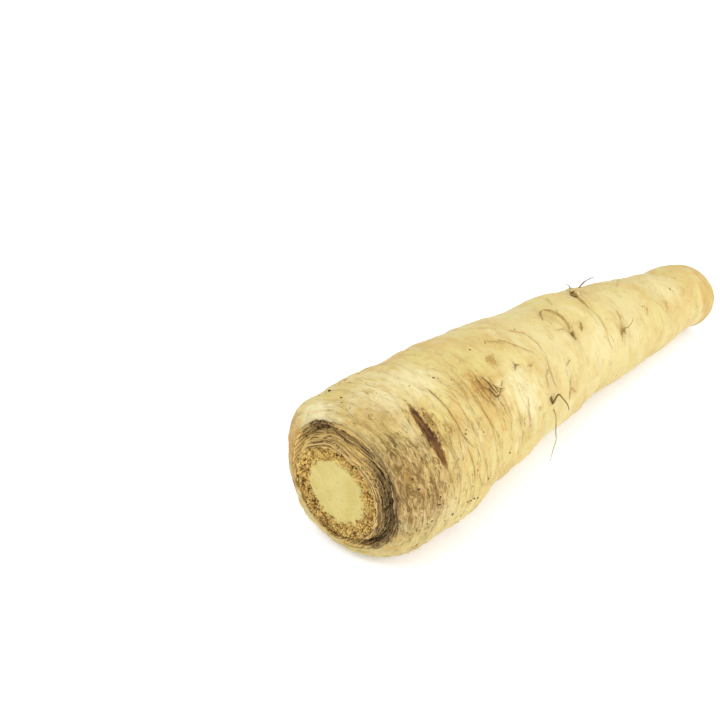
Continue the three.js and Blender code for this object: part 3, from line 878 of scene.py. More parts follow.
def husk_fibres(surface, count):
    """Long dry fibres that run side by side around the neck, along the edges of its sheets."""
    outline = stub_outline()
    travelled, radii = lengths(outline), [radius for _, radius in outline]
    runs = np.arange(13.0, 22.6, 0.1)
    turns = np.radians(np.arange(20, 262, 2.0))
    phases = [husk_phase(runs, np.full(len(runs), turn)) for turn in turns]
    strands, shades = [], []
    while len(strands) < count:
        start = rng.uniform(30, 238)
        span = rng.uniform(14, 70)
        sheet = rng.integers(0, 8) + rng.normal(0.72, 0.16)
        drift, sway, phase = rng.normal(0, 0.2), rng.uniform(0.0, 0.06), rng.uniform(0, 6)
        thick = rng.uniform(0.16, 0.3) if rng.random() < 0.7 else rng.uniform(0.32, 0.5)
        lift = rng.uniform(0.0, 0.3)
        steps = 4 + int(span / 2.4)
        strand = []
        for i in range(steps + 1):
            share = i / steps
            degrees = start + span * share
            if degrees > 258:
                break
            turn = math.radians(degrees)
            wanted = sheet + drift * (share - 0.5) * 2 + sway * math.sin(phase + 9 * share)
            run = np.interp(wanted, np.maximum.accumulate(phases[int((degrees - 20) / 2)]), runs)
            radius = float(np.interp(run, travelled, radii))
            radius += float(husk_shift(turn)) * float(smooth(radius, STUB_RADIUS, 18.4))
            if radius > float(around(HUSK_EDGE, turn)) - 0.45:
                break
            taper = math.sin(math.pi * share) ** 0.5 if 0 < i < steps else 0
            place = on_crown(surface, radius, turn, lift * taper + thick * 0.15)
            if place is None:
                break
            strand.append((*place, thick * taper))
        if len(strand) > 4:
            strand[0] = (*strand[0][:3], 0)
            strand[-1] = (*strand[-1][:3], 0)
            strands.append(strand)
            middle = math.radians(start + span / 2)
            counted = np.maximum.accumulate(husk_phase(runs, np.full(len(runs), middle)))
            late = smooth(np.interp(sheet, counted, runs), 16, 21)
            # Fibres in the dark outer band are made darker, partly painted shade.
            gloomy = float(around(GLOOM, middle))
            shades.append(
                min(1, max(0, rng.uniform(0.2, 1.1) - 0.25 * gloomy * (0.3 + 0.8 * float(late))))
            )
    return strands, shades


def torn_shreds(surface, count):
    """Short curled bits of husk in the two pockets of the furrow."""
    strands, shades = [], []
    while len(strands) < count:
        pocket_turn, pocket_spread, low, high = ((60, 8, 17.2, 19.8), (232, 8, 16.2, 18.5))[
            rng.random() < 0.35
        ]
        turn = math.radians(rng.normal(pocket_turn, pocket_spread))
        radius = rng.uniform(low, high)
        heading, curl = rng.uniform(0, math.tau), rng.normal(0, 0.35)
        length, thick, lift = rng.uniform(1.2, 3.2), rng.uniform(0.14, 0.34), rng.uniform(0.1, 0.7)
        strand = []
        for i in range(8):
            place = on_crown(surface, radius, turn, lift * math.sin(i / 7 * math.pi) + 0.05)
            if place is None or radius > float(around(HUSK_EDGE, turn)) + 0.3:
                break
            strand.append((*place, thick if 0 < i < 7 else 0))
            radius += length / 7 * math.cos(heading)
            turn += length / 7 * math.sin(heading) / radius
            heading += curl
        if len(strand) > 3:
            strand[-1] = (*strand[-1][:3], 0)
            strands.append(strand)
            # The shreds in the pockets are kept dark, partly painted shade.
            shades.append(rng.uniform(0, 0.6))
    return strands, shades


def make_fibres(stub, material):
    surface = surface_of(stub)
    fibres, fibre_shades = husk_fibres(surface, FIBRE_COUNT)
    shreds, shred_shades = torn_shreds(surface, SHRED_COUNT)
    mesh = strand_mesh("crown_fibres", fibres + shreds, fibre_shades + shred_shades, 0)
    piece("crown_fibres", mesh, material)


def bent(points, steps):
    """More points along a smooth bend through the given ones."""
    points = np.array(points, dtype=float)
    ends = np.vstack([2 * points[0] - points[1], points, 2 * points[-1] - points[-2]])
    path = []
    for i in range(1, len(ends) - 2):
        a, b, c, d = ends[i - 1 : i + 3]
        for t in np.arange(steps) / steps:
            square = (2 * a - 5 * b + 4 * c - d) * t**2
            cube = (3 * b - a - 3 * c + d) * t**3
            path.append(0.5 * (2 * b + (c - a) * t + square + cube))
    return np.array(path + [points[-1]])


def make_rootlets(material):
    strands = []
    for rootlet in ROOTLETS:
        turn = math.radians(rootlet.turn)
        outward = np.array([0, math.cos(turn), math.sin(turn)])
        station = np.array([float(rootlet.station)])
        start = grown(station, girth(station), np.array([turn]))[0]
        path = [start - outward * ROOTLET_ROOTING, start]
        path += [
            start + outward * away + np.array([along, 0, up]) for along, away, up in rootlet.steps
        ]
        path = bent(path, 5)
        path[:, 2] = np.maximum(path[:, 2], 0.35) + SHIFT[2]
        share = np.linspace(0, 1, len(path))
        thick = rootlet.thick * (1 - 0.72 * share) * (1 + 0.12 * np.sin(17 * share))
        thick[0] = thick[-1] = 0
        strands.append([(x + SHIFT[0], y + SHIFT[1], z, t) for (x, y, z), t in zip(path, thick)])
    shades = [rootlet.shade for rootlet in ROOTLETS]
    piece("side_rootlets", strand_mesh("side_rootlets", strands, shades, 2), material)


def scattered(name, rows, subdivisions, roughness, material):
    """Many little crushed balls in one mesh, from rows of (place, outward, size in mm)."""
    shape = bmesh.new()
    for place, outward, size in rows:
        upright = outward.to_track_quat("Z", "Y").to_matrix().to_4x4()
        turned = Matrix.Rotation(rng.uniform(0, math.tau), 4, "Z")
        squash = Matrix.Diagonal((rng.uniform(0.9, 1.5), rng.uniform(0.7, 1.0), 0.6, 1))
        made = bmesh.ops.create_icosphere(shape, subdivisions=subdivisions, radius=size / 2 * MM)
        ball = made["verts"]
        for dot in ball:
            dot.co *= 1 + roughness * noise.noise(
                dot.co / (size * 0.35 * MM) + Vector((place.x / MM, 0, 0))
            )
        bmesh.ops.transform(
            shape, matrix=Matrix.Translation(place) @ upright @ turned @ squash, verts=ball
        )
    piece(name, mesh_of(shape, name), material)


def on_skin(surface, station, degrees):
    """The place on the skin nearest to a station and turn, and the direction outwards there."""
    station, turn = np.array([float(station)]), np.array([math.radians(degrees)])
    at = Vector((grown(station, girth(station), turn)[0] + SHIFT) * MM)
    return surface.find_nearest(at)[:2]


def make_specks(body, material):
    """Grains of soil that stick to the skin."""
    surface = surface_of(body)
    grains = list(SPECKS)
    while len(grains) < SPECK_COUNT:
        station, turn = rng.gamma(1.6, 14), rng.uniform(0, 360)
        if station < 170 and not 245 < turn < 295:
            grains.append((station, turn, rng.uniform(0.18, 0.42)))
    rows = [(*on_skin(surface, station, turn), size) for station, turn, size in grains]
    scattered("soil_specks", rows, 2, 0.35, material)


def make_crumbs(stub, material):
    """Loose grains of dry tissue that stand on the crumbly ring."""
    surface = surface_of(stub)
    rows = []
    while len(rows) < CRUMB_COUNT:
        turn = rng.uniform(0, math.tau)
        radius = rng.uniform(CORE_RADIUS - 0.2, min(float(around(CRUMB_EDGE, turn)), 17.8))
        place = on_crown(surface, radius, turn, 0.05)
        if place is not None:
            rows.append(
                (
                    Vector(place) * MM, Vector((-1, rng.normal(0, 0.3), rng.normal(0, 0.3))),
                    rng.uniform(0.35, 0.95),
                )
            )
    scattered("crown_crumbs", rows, 1, 0.5, material)


def make_flakes(body, material):
    """Thin curled bits of outer skin that have come loose along one edge."""
    surface = surface_of(body)
    flakes = list(FLAKES)
    while len(flakes) < FLAKE_COUNT:
        station, turn = rng.gamma(1.5, 9), rng.uniform(0, 360)
        if 1.5 < station < 150 and not 235 < turn < 305:
            flakes.append(
                (
                    station, turn, rng.uniform(0.8, 2.0), rng.uniform(0.25, 0.5),
                    rng.normal(90, 14), rng.uniform(0.05, 0.2),
                )
            )
    shape = bmesh.new()
    for station, turn, length, width, heading, lift in flakes:
        place, outward = on_skin(surface, station, turn)
        along = (Vector((1, 0, 0)) - outward * outward.x).normalized()
        stance = Matrix((along, outward.cross(along), outward)).transposed().to_4x4()
        leaf = bmesh.ops.create_uvsphere(shape, u_segments=10, v_segments=7, radius=0.5)["verts"]
        curl = rng.uniform(0.6, 1.2)
        for dot in leaf:
            x, y, z = dot.co
            end, side = 2 * x, 2 * y
            ragged = 1 + 0.35 * noise.noise(Vector((end * 2, side * 2, float(station))))
            tilt = lift * (0.5 + 0.5 * side) + 0.12 * curl * end * end
            dot.co = Vector((x * length * ragged, y * width * ragged, z * 0.14 + tilt)) * MM
        turned = Matrix.Rotation(math.radians(heading), 4, "Z")
        bmesh.ops.transform(shape, matrix=Matrix.Translation(place) @ stance @ turned, verts=leaf)
    mesh = mesh_of(shape, "skin_flakes")
    for dot in mesh.vertices:
        dot.co.z = max(dot.co.z, 0)
    piece("skin_flakes", mesh, material)


# Finishes -----------------------------------------------------------------------------------------


class Finish:
    """A material and short ways to add its nodes."""

    def __init__(self, name, gloss=0.12):
        self.material = bpy.data.materials.new(name)
        self.material.use_nodes = True
        self.nodes = self.material.node_tree.nodes
        self.links = self.material.node_tree.links
        self.shader = self.nodes["Principled BSDF"]
        self.shader.inputs["Specular IOR Level"].default_value = gloss
        self.place = self.add("ShaderNodeTexCoord").outputs["Object"]

    def add(self, kind, **settings):
        node = self.nodes.new(kind)
        for key, value in settings.items():
            setattr(node, key, value)
        return node

    def plug(self, value, socket):
        if isinstance(value, bpy.types.NodeSocket):
            self.links.new(value, socket)
        else:
            socket.default_value = value

    def number(self, name):
        return self.add("ShaderNodeAttribute", attribute_name=name).outputs["Fac"]

    def math(self, operation, first, second=0.0, clamp=False):
        node = self.add("ShaderNodeMath", operation=operation, use_clamp=clamp)
        self.plug(first, node.inputs[0])
        self.plug(second, node.inputs[1])
        return node.outputs[0]

    def times(self, first, second, clamp=False):
        return self.math("MULTIPLY", first, second, clamp)

    def plus(self, first, second, clamp=False):
        return self.math("ADD", first, second, clamp)

    def minus(self, first, second):
        return self.math("SUBTRACT", first, second)

    def span(self, value, low, high, to_low=0.0, to_high=1.0):
        node = self.add("ShaderNodeMapRange", interpolation_type="SMOOTHSTEP")
        for socket, setting in zip(node.inputs, (value, low, high, to_low, to_high)):
            self.plug(setting, socket)
        return node.outputs[0]

    def mix(self, share, first, second):
        node = self.add("ShaderNodeMix", data_type="RGBA")
        self.plug(share, node.inputs[0])
        self.plug(first, node.inputs[6])
        self.plug(second, node.inputs[7])
        return node.outputs[2]

    def skinwise(self, along, across):
        """A place on the skin, scaled per millimetre along the outline and around the girth."""
        split = self.add("ShaderNodeSeparateXYZ")
        join = self.add("ShaderNodeCombineXYZ")
        self.plug(self.place, split.inputs[0])
        self.plug(self.times(self.number("run"), along), join.inputs[0])
        self.plug(self.times(split.outputs[1], across / MM), join.inputs[1])
        self.plug(self.times(split.outputs[2], across / MM), join.inputs[2])
        return join.outputs[0]

    def evenly(self, per_mm):
        """A place in space, scaled per millimetre."""
        mapping = self.add("ShaderNodeMapping")
        self.plug(self.place, mapping.inputs["Vector"])
        mapping.inputs["Scale"].default_value = (per_mm / MM,) * 3
        return mapping.outputs[0]

    def noise(self, where, detail=4.0, rough=0.55, twist=0.0, shift=0.0):
        if shift:
            moved = self.add("ShaderNodeVectorMath", operation="ADD")
            self.plug(where, moved.inputs[0])
            moved.inputs[1].default_value = (shift, shift * 1.7, shift * 0.6)
            where = moved.outputs[0]
        node = self.add("ShaderNodeTexNoise")
        self.plug(where, node.inputs["Vector"])
        node.inputs["Scale"].default_value = 1.0
        node.inputs["Detail"].default_value = detail
        node.inputs["Roughness"].default_value = rough
        node.inputs["Distortion"].default_value = twist
        return node.outputs[0]

    def grain(self, per_mm, *settings):
        return self.noise(self.evenly(per_mm), *settings)

    def veins(self, field, width):
        """Thin wandering lines where a noise passes its middle value."""
        away = self.math("ABSOLUTE", self.minus(field, 0.5))
        return self.span(away, 0.0, width, 1.0, 0.0)

    def bump(self, height, distance_mm, strength=1.0, under=None):
        node = self.add("ShaderNodeBump")
        node.inputs["Strength"].default_value = strength
        node.inputs["Distance"].default_value = distance_mm * MM
        self.plug(height, node.inputs["Height"])
        if under is not None:
            self.plug(under, node.inputs["Normal"])
        return node.outputs[0]

    def coat(self, share, second):
        """Lays one more colour over those already there."""
        self.colour = self.mix(share, self.colour, second)

    def wear(self, roughness, normal):
        self.plug(self.colour, self.shader.inputs["Base Color"])
        self.plug(roughness, self.shader.inputs["Roughness"])
        self.plug(normal, self.shader.inputs["Normal"])


def paint(red, green, blue):
    """A colour given as display values from 0 to 255."""
    linear = [((c / 255 + 0.055) / 1.055) ** 2.4 for c in (red, green, blue)]
    return (*linear, 1.0)


CREAM = paint(198, 180, 116)
CREAM_WARM = paint(190, 163, 96)
CREAM_GREEN = paint(194, 180, 112)
CREAM_PALE = paint(204, 191, 140)
# a pale tone for clean patches, also the painted highlight along raised lips
RIDGE_PALE = paint(216, 206, 160)
SKIN_TAN = paint(172, 137, 72)
SKIN_AMBER = paint(200, 158, 84)
SKIN_ORANGE = paint(172, 128, 56)
SKIN_BROWN = paint(108, 82, 42)
SKIN_GREY = paint(148, 123, 68)
SKIN_HIGHLIGHT = paint(208, 188, 144)
SKIN_SHADE = paint(130, 100, 52)
SCUFF_PALE = paint(192, 164, 108)
OLIVE_BROWN = paint(74, 54, 24)
DARK_BROWN = paint(56, 36, 20)
PURPLE_BROWN = paint(82, 46, 16)
SLIT_LIGHT = paint(112, 73, 30)
PITH = paint(188, 169, 96)
PITH_PALE = paint(196, 180, 112)
PITH_GREEN = paint(186, 172, 104)
CRUMB_LIGHT = paint(214, 184, 108)
CRUMB_TAN = paint(172, 134, 68)
CRUMB_DARK = paint(86, 54, 26)
MARGIN_TAN = paint(206, 172, 92)
HUSK_LIGHT = paint(214, 182, 110)
HUSK_PALE = paint(190, 164, 108)
HUSK_BROWN = paint(126, 101, 66)
HUSK_LINE = paint(104, 76, 40)
HUSK_DEEP = paint(62, 44, 26)
HUSK_PURPLE = paint(100, 74, 52)
TIP_TAN = paint(184, 154, 88)
TIP_YELLOW = paint(186, 164, 106)
ROOTLET_DARK = paint(96, 72, 36)
ROOTLET_OLIVE = paint(168, 146, 88)
SOIL_DARK = paint(32, 22, 14)
SOIL_LIGHT = paint(78, 56, 32)


def line_mask(f, side, ink, ragged, soft=0.35):
    """How much of a line is at a point, from the distance in half-widths and the darkness."""
    away = f.plus(f.math("ABSOLUTE", side), ragged)
    body = f.span(away, 1.0 - soft, 1.0 + soft, 1.0, 0.0)
    return f.times(body, ink)


def flesh(f):
    """Light goes a little way into the root."""
    shader = f.shader.inputs
    shader["Subsurface Weight"].default_value = 0.1
    shader["Subsurface Radius"].default_value = (1.0, 0.6, 0.25)
    shader["Subsurface Scale"].default_value = 1.0 * MM
    shader["IOR"].default_value = 1.42


def skin_finish():
    f = Finish("creased_root_skin", 0.24)
    weather, tailward = f.number("weather"), f.number("tailward")
    lively = f.number("lively")
    clouds = f.grain(0.06, 4, 0.55, 0.3, 0.4)
    tints = f.grain(0.1, 3, 0.5, 0.6, 5.3)
    mottle = f.noise(f.skinwise(0.36, 0.2), 5, 0.62, 0.5, 1.3)
    streaks = f.noise(f.skinwise(0.9, 0.14), 4, 0.6, 0.8, 2.1)
    threads = f.noise(f.skinwise(1.15, 0.36), 3, 0.6, 0.8, 3.7)
    stipple = f.grain(1.0, 3, 0.6, 0.5, 6.1)
    f.colour = f.mix(f.span(clouds, 0.38, 0.62), CREAM, CREAM_WARM)
    f.coat(f.span(tints, 0.52, 0.66, 0.0, 0.75), CREAM_GREEN)
    f.coat(f.span(tints, 0.34, 0.46, 0.6, 0.0), CREAM_PALE)
    f.coat(f.times(f.number("pale"), 0.9), CREAM_PALE)
    f.coat(f.span(f.number("pale"), 0.6, 1.0, 0.0, 0.8), RIDGE_PALE)
    f.coat(f.span(tailward, 0.6, 1.0, 0.0, 0.2), CREAM_PALE)
    f.coat(f.span(mottle, 0.5, 0.68, 0.0, 0.45), CREAM_WARM)
    amber = f.grain(0.3, 3, 0.6, 0.6, 14.2)
    f.coat(f.span(amber, 0.6, 0.7, 0.0, 0.4), SKIN_AMBER)
    f.coat(f.times(f.span(streaks, 0.54, 0.66, 0.0, 0.35), lively), SKIN_TAN)
    f.coat(f.times(f.span(streaks, 0.34, 0.44, 0.4, 0.0), lively), CREAM_PALE)
    grey = f.times(weather, f.span(mottle, 0.34, 0.56, 0.3, 0.62))
    f.coat(grey, SKIN_GREY)
    hairs = f.noise(f.skinwise(1.45, 0.26), 3, 0.6, 0.7, 10.4)
    scuffed = f.mix(f.span(hairs, 0.46, 0.54), SKIN_SHADE, SCUFF_PALE)
    f.coat(f.times(weather, f.span(mottle, 0.4, 0.62, 0.72, 0.4)), scuffed)
    shine = f.times(f.span(threads, 0.36, 0.41, 0.7, 0.0), f.plus(f.times(weather, 0.5), 0.12))
    f.coat(shine, SKIN_HIGHLIGHT)
    fine_lines = f.veins(f.noise(f.skinwise(0.6, 0.15), 3, 0.55, 0.8, 9.1), 0.022)
    gaps = f.span(mottle, 0.46, 0.58)
    lines = f.times(fine_lines, gaps)
    strength = f.plus(f.times(weather, 0.7), f.times(lively, 0.3))
    f.coat(f.times(lines, strength, clamp=True), SKIN_BROWN)
    worn = f.math("MAXIMUM", weather, f.number("scored"))
    dash_from = f.span(f.plus(worn, f.times(lively, 0.16)), 0.0, 0.95, 0.675, 0.53)
    dashes = f.span(f.minus(threads, dash_from), 0.0, 0.035)
    f.coat(f.times(dashes, f.span(mottle, 0.38, 0.56, 0.3, 0.85)), SKIN_BROWN)
    scratches = f.noise(f.skinwise(1.5, 0.2), 3, 0.6, 0.5, 12.3)
    scratches = f.span(f.minus(scratches, f.plus(dash_from, 0.025)), 0.0, 0.03)
    f.coat(f.times(scratches, f.span(mottle, 0.42, 0.58, 0.15, 0.8)), OLIVE_BROWN)
    dot_from = f.span(f.plus(weather, f.times(lively, 0.1)), 0.0, 1.0, 0.73, 0.61)
    dots = f.span(f.minus(stipple, dot_from), 0.0, 0.03)
    f.coat(f.times(dots, 0.85), OLIVE_BROWN)
    ragged = f.span(stipple, 0.36, 0.62, 0.35, 1.1)
    f.coat(f.times(f.number("tan"), ragged, clamp=True), SKIN_TAN)
    f.coat(
        f.times(f.span(f.number("tan"), 0.3, 0.9, 0.0, 0.7), f.span(threads, 0.46, 0.54)),
        SKIN_ORANGE,
    )
    rough_brown = f.times(f.number("brown"), f.span(threads, 0.46, 0.56, 0.15, 1.5))
    f.coat(f.times(rough_brown, 0.9, clamp=True), SKIN_BROWN)
    # Painted shade: the skin is tinted tan in the cross creases, by their depth.
    groove = f.times(f.number("groove"), f.span(streaks, 0.35, 0.65, 0.05, 0.45))
    f.coat(groove, SKIN_TAN)
    jitter = f.span(f.grain(1.3, 3, 0.6, 0.0, 4.4), 0.3, 0.7, -0.5, 0.5)
    wrinkle = line_mask(f, f.number("wrinkle_side"), f.number("wrinkle_ink"), jitter, 0.35)
    wrinkle_colour = f.mix(f.span(mottle, 0.4, 0.6), SKIN_TAN, SKIN_BROWN)
    f.coat(f.times(wrinkle, f.times(lively, 0.8)), wrinkle_colour)
    side, ink, hue = f.number("line_side"), f.number("line_ink"), f.number("line_hue")
    away = f.plus(f.math("ABSOLUTE", side), f.times(jitter, 1.4))
    halo = f.times(
        f.span(away, 0.6, 2.6, 0.75, 0.0), f.times(ink, f.span(tailward, 0.2, 1.0, 1.0, 0.6))
    )
    f.coat(halo, f.mix(f.span(stipple, 0.4, 0.6), SKIN_TAN, SKIN_ORANGE))
    wavering = f.times(jitter, f.span(hue, 0.9, 1.0, 0.7, 0.5))
    line = line_mask(f, side, ink, wavering, 0.22)
    broken = f.span(f.grain(0.45, 4, 0.6, 0.0, 5.0), 0.38, 0.54, 0.25, 1.0)
    broken = f.math("MAXIMUM", broken, f.span(ink, 0.68, 0.88, 0.0, 0.95))
    line_colour = f.mix(f.span(hue, 0.1, 0.5), SKIN_ORANGE, SKIN_BROWN)
    line_colour = f.mix(f.span(hue, 0.45, 0.8), line_colour, OLIVE_BROWN)
    open_slit = f.span(hue, 0.9, 1.0)
    inside = f.plus(side, f.times(jitter, 0.8))
    middle = f.times(f.span(inside, -0.75, -0.2), f.span(inside, 0.45, 0.95, 1.0, 0.35))
    line_colour = f.mix(f.times(middle, open_slit), line_colour, PURPLE_BROWN)
    fibres = f.noise(f.skinwise(1.2, 0.16), 3, 0.6, 0.5, 15.1)
    line_colour = f.mix(
        f.times(f.span(fibres, 0.5, 0.57, 0.0, 0.9), open_slit), line_colour, SLIT_LIGHT
    )
    line_colour = f.mix(
        f.times(f.span(fibres, 0.4, 0.47, 0.8, 0.0), open_slit), line_colour, DARK_BROWN
    )
    line_colour = f.mix(f.times(tailward, 0.4), line_colour, SKIN_BROWN)
    faint = f.span(tailward, 0.0, 1.0, 1.0, 0.72)
    f.coat(f.times(f.times(line, broken), faint), line_colour)
    # Painted highlight: a pale band along the raised lip beside each strong mark.
    lit = f.times(f.span(side, -5.0, -3.0), f.span(side, -2.4, -1.3, 1.0, 0.0))
    lit = f.times(f.times(lit, f.number("ridge")), f.span(mottle, 0.4, 0.6, 0.5, 1.2))
    f.coat(lit, RIDGE_PALE)
    # Painted shade: husk brown darkens the lip beside the husks.
    dusk = f.times(f.number("dusk"), f.span(threads, 0.3, 0.65, 0.2, 0.7))
    f.coat(dusk, HUSK_BROWN)
    husk = f.mix(f.span(stipple, 0.4, 0.6), CRUMB_DARK, CRUMB_TAN)
    # Partly painted shade: the husk colour at the lip's edge darkens as the husks do.
    husk = f.mix(f.number("gloom"), husk, HUSK_DEEP)
    f.coat(f.number("husk_edge"), husk)
    tip = f.mix(f.span(clouds, 0.4, 0.6), TIP_TAN, TIP_YELLOW)
    f.coat(f.times(f.number("cut_tip"), f.span(mottle, 0.3, 0.6, 0.55, 0.95)), tip)
    f.coat(f.times(f.number("tip_edge"), f.span(streaks, 0.42, 0.6, 0.0, 0.45)), SKIN_ORANGE)
    wood = f.mix(
        f.span(f.noise(f.skinwise(1.2, 0.5), 4, 0.6, shift=7.0), 0.4, 0.6), PITH_PALE, CREAM_WARM
    )
    ring = f.veins(f.times(f.number("spread"), 0.11), 0.06)
    wood = f.mix(f.times(ring, 0.6), wood, SKIN_TAN)
    f.coat(f.number("cut_face"), wood)
    normal = f.bump(f.times(streaks, strength), 0.35, 0.6)
    normal = f.bump(f.times(threads, strength), 0.3, 0.9, normal)
    normal = f.bump(stipple, 0.05, 0.6, normal)
    lively_more = f.plus(lively, 0.25, clamp=True)
    small_cuts = f.times(f.plus(wrinkle, f.times(lines, 0.6)), lively_more)
    cuts = f.times(f.plus(small_cuts, line), -1.0)
    normal = f.bump(cuts, 0.22, 1.0, normal)
    f.wear(f.span(mottle, 0.3, 0.7, 0.46, 0.64), normal)
    flesh(f)
    return f.material


def stub_finish():
    f = Finish("cut_leaf_stub", 0.15)
    core, neck, gloom = f.number("core"), f.number("neck"), f.number("gloom")
    fine = f.grain(1.5, 5, 0.7, 0.4, 0.7)
    grit = f.grain(0.85, 4, 0.65, 0.6, 6.6)
    coarse = f.grain(0.4, 4, 0.6, 0.0, 1.9)
    pith = f.mix(f.span(f.grain(0.13, 4, 0.6, 0.6, 2.4), 0.38, 0.62), PITH, PITH_PALE)
    pith = f.mix(f.span(f.grain(0.2, 3, 0.6, 0.4, 7.9), 0.52, 0.68, 0.0, 0.7), pith, PITH_GREEN)
    pith = f.mix(f.span(fine, 0.62, 0.76, 0.0, 0.4), pith, CREAM_PALE)
    pith = f.mix(f.span(f.grain(0.6, 3, 0.5, 0.0, 3.3), 0.66, 0.74, 0.0, 0.45), pith, SKIN_TAN)
    # Partly painted shade and highlight: the crumbly ring is coloured by the height of its relief,
    # dark in the pits and light on the tops, over the crumbs' own tan.
    heights = f.plus(f.number("crumbs"), f.span(fine, 0.3, 0.7, -0.75, 0.75))
    heights = f.plus(heights, f.span(grit, 0.3, 0.7, -0.55, 0.55))
    # Painted shade: the crumbly ring is darker towards the crown's underside and towards -Y.
    heights = f.minus(heights, f.times(f.number("umber"), 0.15))
    crumb = f.mix(f.span(heights, -0.8, -0.25), CRUMB_DARK, CRUMB_TAN)
    crumb = f.mix(f.span(heights, 0.0, 0.5), crumb, CRUMB_LIGHT)
    crumb = f.mix(f.span(coarse, 0.54, 0.7, 0.0, 0.4), crumb, SKIN_BROWN)
    crumb = f.mix(
        f.times(f.number("margin"), f.span(heights, -0.8, 0.4, 0.35, 0.85)), crumb, MARGIN_TAN
    )
    # Partly painted shade: the crumbs darken where the husks are dark.
    crumb = f.mix(f.times(gloom, 0.3), crumb, SKIN_BROWN)
    crumb = f.mix(f.times(f.number("umber"), 0.22), crumb, SKIN_BROWN)
    # Partly painted shade and highlight: the sheets are coloured dark in the gaps between them and
    # light on their crests, the crests paler still where the husks are dark.
    sheets = f.plus(f.number("sheets"), f.span(fine, 0.3, 0.7, -0.3, 0.3))
    grain = f.noise(f.skinwise(1.3, 0.08), 3, 0.65, 0.5, 8.3)
    light = f.mix(gloom, HUSK_LIGHT, HUSK_BROWN)
    light = f.mix(f.times(f.span(grit, 0.5, 0.66, 0.0, 0.6), gloom), light, HUSK_PURPLE)
    dark = f.mix(gloom, HUSK_LINE, HUSK_DEEP)
    full = f.plus(f.times(gloom, 0.45), 0.22)
    husk = f.mix(f.span(sheets, 0.0, full), dark, light)
    husk = f.mix(f.times(gloom, f.span(sheets, 0.85, 1.15, 0.0, 0.85)), husk, HUSK_PALE)
    scored = f.times(f.span(grain, 0.37, 0.46, 1.0, 0.0), f.span(gloom, 0.1, 0.8, 0.35, 1.0))
    husk = f.mix(scored, husk, dark)
    highlight = f.mix(f.span(gloom, 0.25, 0.6), HUSK_LIGHT, HUSK_PALE)
    husk = f.mix(f.span(grain, 0.53, 0.6, 0.0, 0.75), husk, highlight)
    soft_core = f.span(f.plus(core, f.span(fine, 0.3, 0.7, -0.35, 0.35)), 0.05, 0.95)
    f.colour = f.mix(soft_core, f.mix(neck, crumb, husk), pith)
    normal = f.bump(fine, 0.3, 0.9)
    normal = f.bump(f.times(grain, neck), 0.5, 0.9, normal)
    flat = f.bump(f.grain(0.8, 4, 0.6, 0.0, 4.2), 0.08, 0.7)
    both = f.add("ShaderNodeMix", data_type="VECTOR")
    f.plug(core, both.inputs[0])
    f.plug(normal, both.inputs[4])
    f.plug(flat, both.inputs[5])
    f.wear(f.span(core, 0, 1, 0.8, 0.45), both.outputs[1])
    flesh(f)
    return f.material


def fibre_finish():
    f = Finish("dry_husk_fibre")
    shade = f.number("shade")
    shades = f.grain(0.35, 3, 0.6, 0.5, 2.2)
    fine = f.grain(2.0, 4, 0.7, 0.0, 4.8)
    f.colour = f.mix(f.span(shade, 0.0, 0.3), HUSK_DEEP, HUSK_BROWN)
    f.coat(f.span(shade, 0.35, 0.7), HUSK_PALE)
    f.coat(f.span(shade, 0.65, 0.95), HUSK_LIGHT)
    f.coat(
        f.times(f.span(shades, 0.5, 0.62, 0.0, 0.5), f.span(shade, 0.2, 0.7, 1.0, 0.0)), HUSK_PURPLE
    )
    f.coat(f.span(fine, 0.32, 0.42, 0.4, 0.0), HUSK_DEEP)
    f.wear(f.span(fine, 0.3, 0.7, 0.6, 0.8), f.bump(fine, 0.06, 0.8))
    return f.material


def crumb_finish():
    f = Finish("dry_crumb")
    shades = f.grain(0.8, 3, 0.6, 0.3, 1.4)
    fine = f.grain(2.4, 4, 0.7, 0.0, 5.6)
    f.colour = f.mix(f.span(shades, 0.4, 0.6), CRUMB_TAN, CRUMB_LIGHT)
    f.coat(f.span(fine, 0.54, 0.68, 0.0, 0.7), SKIN_BROWN)
    f.wear(f.span(fine, 0.3, 0.7, 0.65, 0.85), f.bump(fine, 0.08, 0.9))
    flesh(f)
    return f.material


def flake_finish():
    f = Finish("loose_skin_flake")
    shades = f.grain(0.6, 3, 0.6, 0.3, 3.1)
    fine = f.grain(1.8, 4, 0.7, 0.0, 2.6)
    f.colour = f.mix(f.span(shades, 0.4, 0.6), CREAM_WARM, CREAM)
    f.coat(f.span(fine, 0.52, 0.66, 0.0, 0.75), SKIN_TAN)
    f.wear(f.span(fine, 0.3, 0.7, 0.5, 0.7), f.bump(fine, 0.06, 0.8))
    flesh(f)
    return f.material


def rootlet_finish():
    f = Finish("side_rootlet")
    patches = f.grain(0.5, 4, 0.6, 0.0, 3.0)
    fine = f.grain(2.2, 4, 0.7, 0.0, 1.0)
    f.colour = f.mix(f.number("shade"), ROOTLET_DARK, ROOTLET_OLIVE)
    f.coat(f.span(patches, 0.5, 0.64, 0.0, 0.5), SKIN_BROWN)
    f.coat(f.span(fine, 0.55, 0.7, 0.0, 0.4), DARK_BROWN)
    f.wear(f.span(fine, 0.3, 0.7, 0.55, 0.75), f.bump(fine, 0.06, 0.8))
    return f.material


def soil_finish():
    f = Finish("dry_soil")
    fine = f.grain(3.0, 4, 0.7, 0.0, 1.0)
    f.colour = f.mix(f.span(fine, 0.38, 0.62), SOIL_DARK, SOIL_LIGHT)
    f.wear(f.span(fine, 0.3, 0.7, 0.75, 0.95), f.bump(fine, 0.08, 1.0))
    return f.material


# Studio -------------------------------------------------------------------------------------------


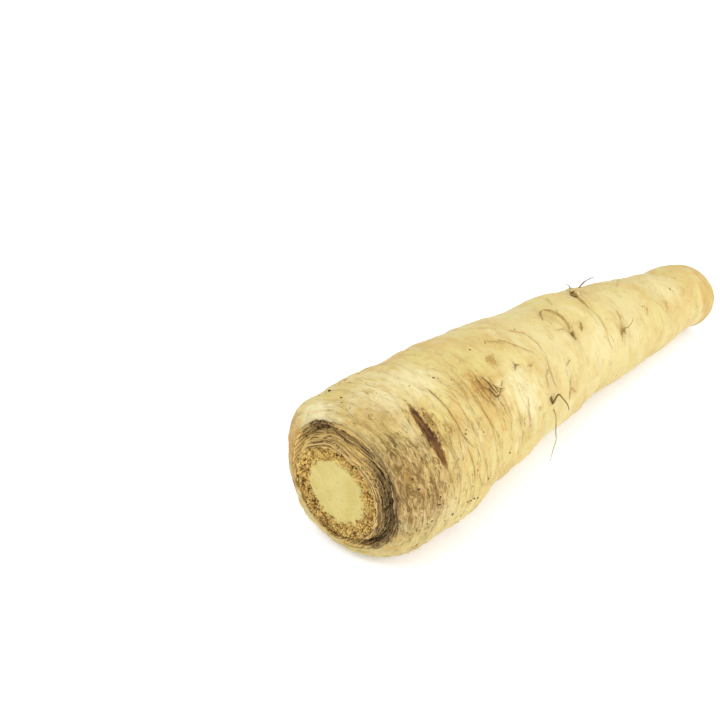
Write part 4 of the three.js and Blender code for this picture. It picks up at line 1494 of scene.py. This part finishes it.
def make_floor():
    bpy.ops.mesh.primitive_plane_add(size=8, location=(0, 0, 0))
    floor = bpy.context.object
    floor.name = "floor"
    f = Finish("pale_floor", 0.0)
    f.shader.inputs["Base Color"].default_value = (0.9, 0.92, 1.0, 1)
    f.shader.inputs["Roughness"].default_value = 0.9
    f.shader.inputs["Emission Color"].default_value = (1, 1, 1, 1)
    f.shader.inputs["Emission Strength"].default_value = 0.2
    floor.data.materials.append(f.material)


LIT_PLACE = Vector((0, 0, 0.02))


def make_light(name, place, size, power):
    lamp = bpy.data.lights.new(name, "AREA")
    lamp.shape = "DISK"
    lamp.size = size
    lamp.energy = power
    obj = bpy.data.objects.new(name, lamp)
    obj.location = place
    obj.rotation_euler = (LIT_PLACE - Vector(place)).to_track_quat("-Z", "Y").to_euler()
    bpy.context.scene.collection.objects.link(obj)


def make_studio():
    scene = bpy.context.scene
    world = bpy.data.worlds.new("white_surround")
    world.use_nodes = True
    world.node_tree.nodes["Background"].inputs["Color"].default_value = (1, 1, 1, 1)
    world.node_tree.nodes["Background"].inputs["Strength"].default_value = 1.1
    scene.world = world
    make_light("overhead_softbox", (-0.45, 0.0, 0.8), 0.5, 2.0)
    make_light("side_softbox", (0.0, -0.8, 0.4), 0.7, 3.2)
    scene.view_settings.view_transform = "Standard"


def make_camera():
    """The eye stands off the crown, to the root's -Y side and above it."""
    azimuth, elevation = math.radians(-50.3), math.radians(32.6)
    distance, lens, sensor = 0.567, 90.7, 36.0
    back = Vector(
        (
            math.sin(azimuth) * math.cos(elevation),
            -math.cos(azimuth) * math.cos(elevation),
            math.sin(elevation),
        )
    )
    looked_at = Vector((-28.6, 43.1, 20.8)) * MM
    camera = bpy.data.cameras.new("camera")
    camera.lens, camera.sensor_width = lens, sensor
    obj = bpy.data.objects.new("camera", camera)
    obj.location = looked_at + back * distance
    obj.rotation_mode = "QUATERNION"
    obj.rotation_quaternion = (-back).to_track_quat("-Z", "Y")
    bpy.context.scene.collection.objects.link(obj)
    bpy.context.scene.camera = obj


# The outline's frame starts at the shoulder's end plane, on the crown's axis. This takes it to the
# CAD frame, where the box is centred.
SHIFT = np.array([CAD_LOW.x / MM + STUB_RISE, AXIS_ASIDE, 0.0])

make_studio()
make_floor()
make_camera()
body = make_body(skin_finish())
stub = make_stub(stub_finish())
make_fibres(stub, fibre_finish())
make_rootlets(rootlet_finish())
make_crumbs(stub, crumb_finish())
make_flakes(body, flake_finish())
make_specks(body, soil_finish())
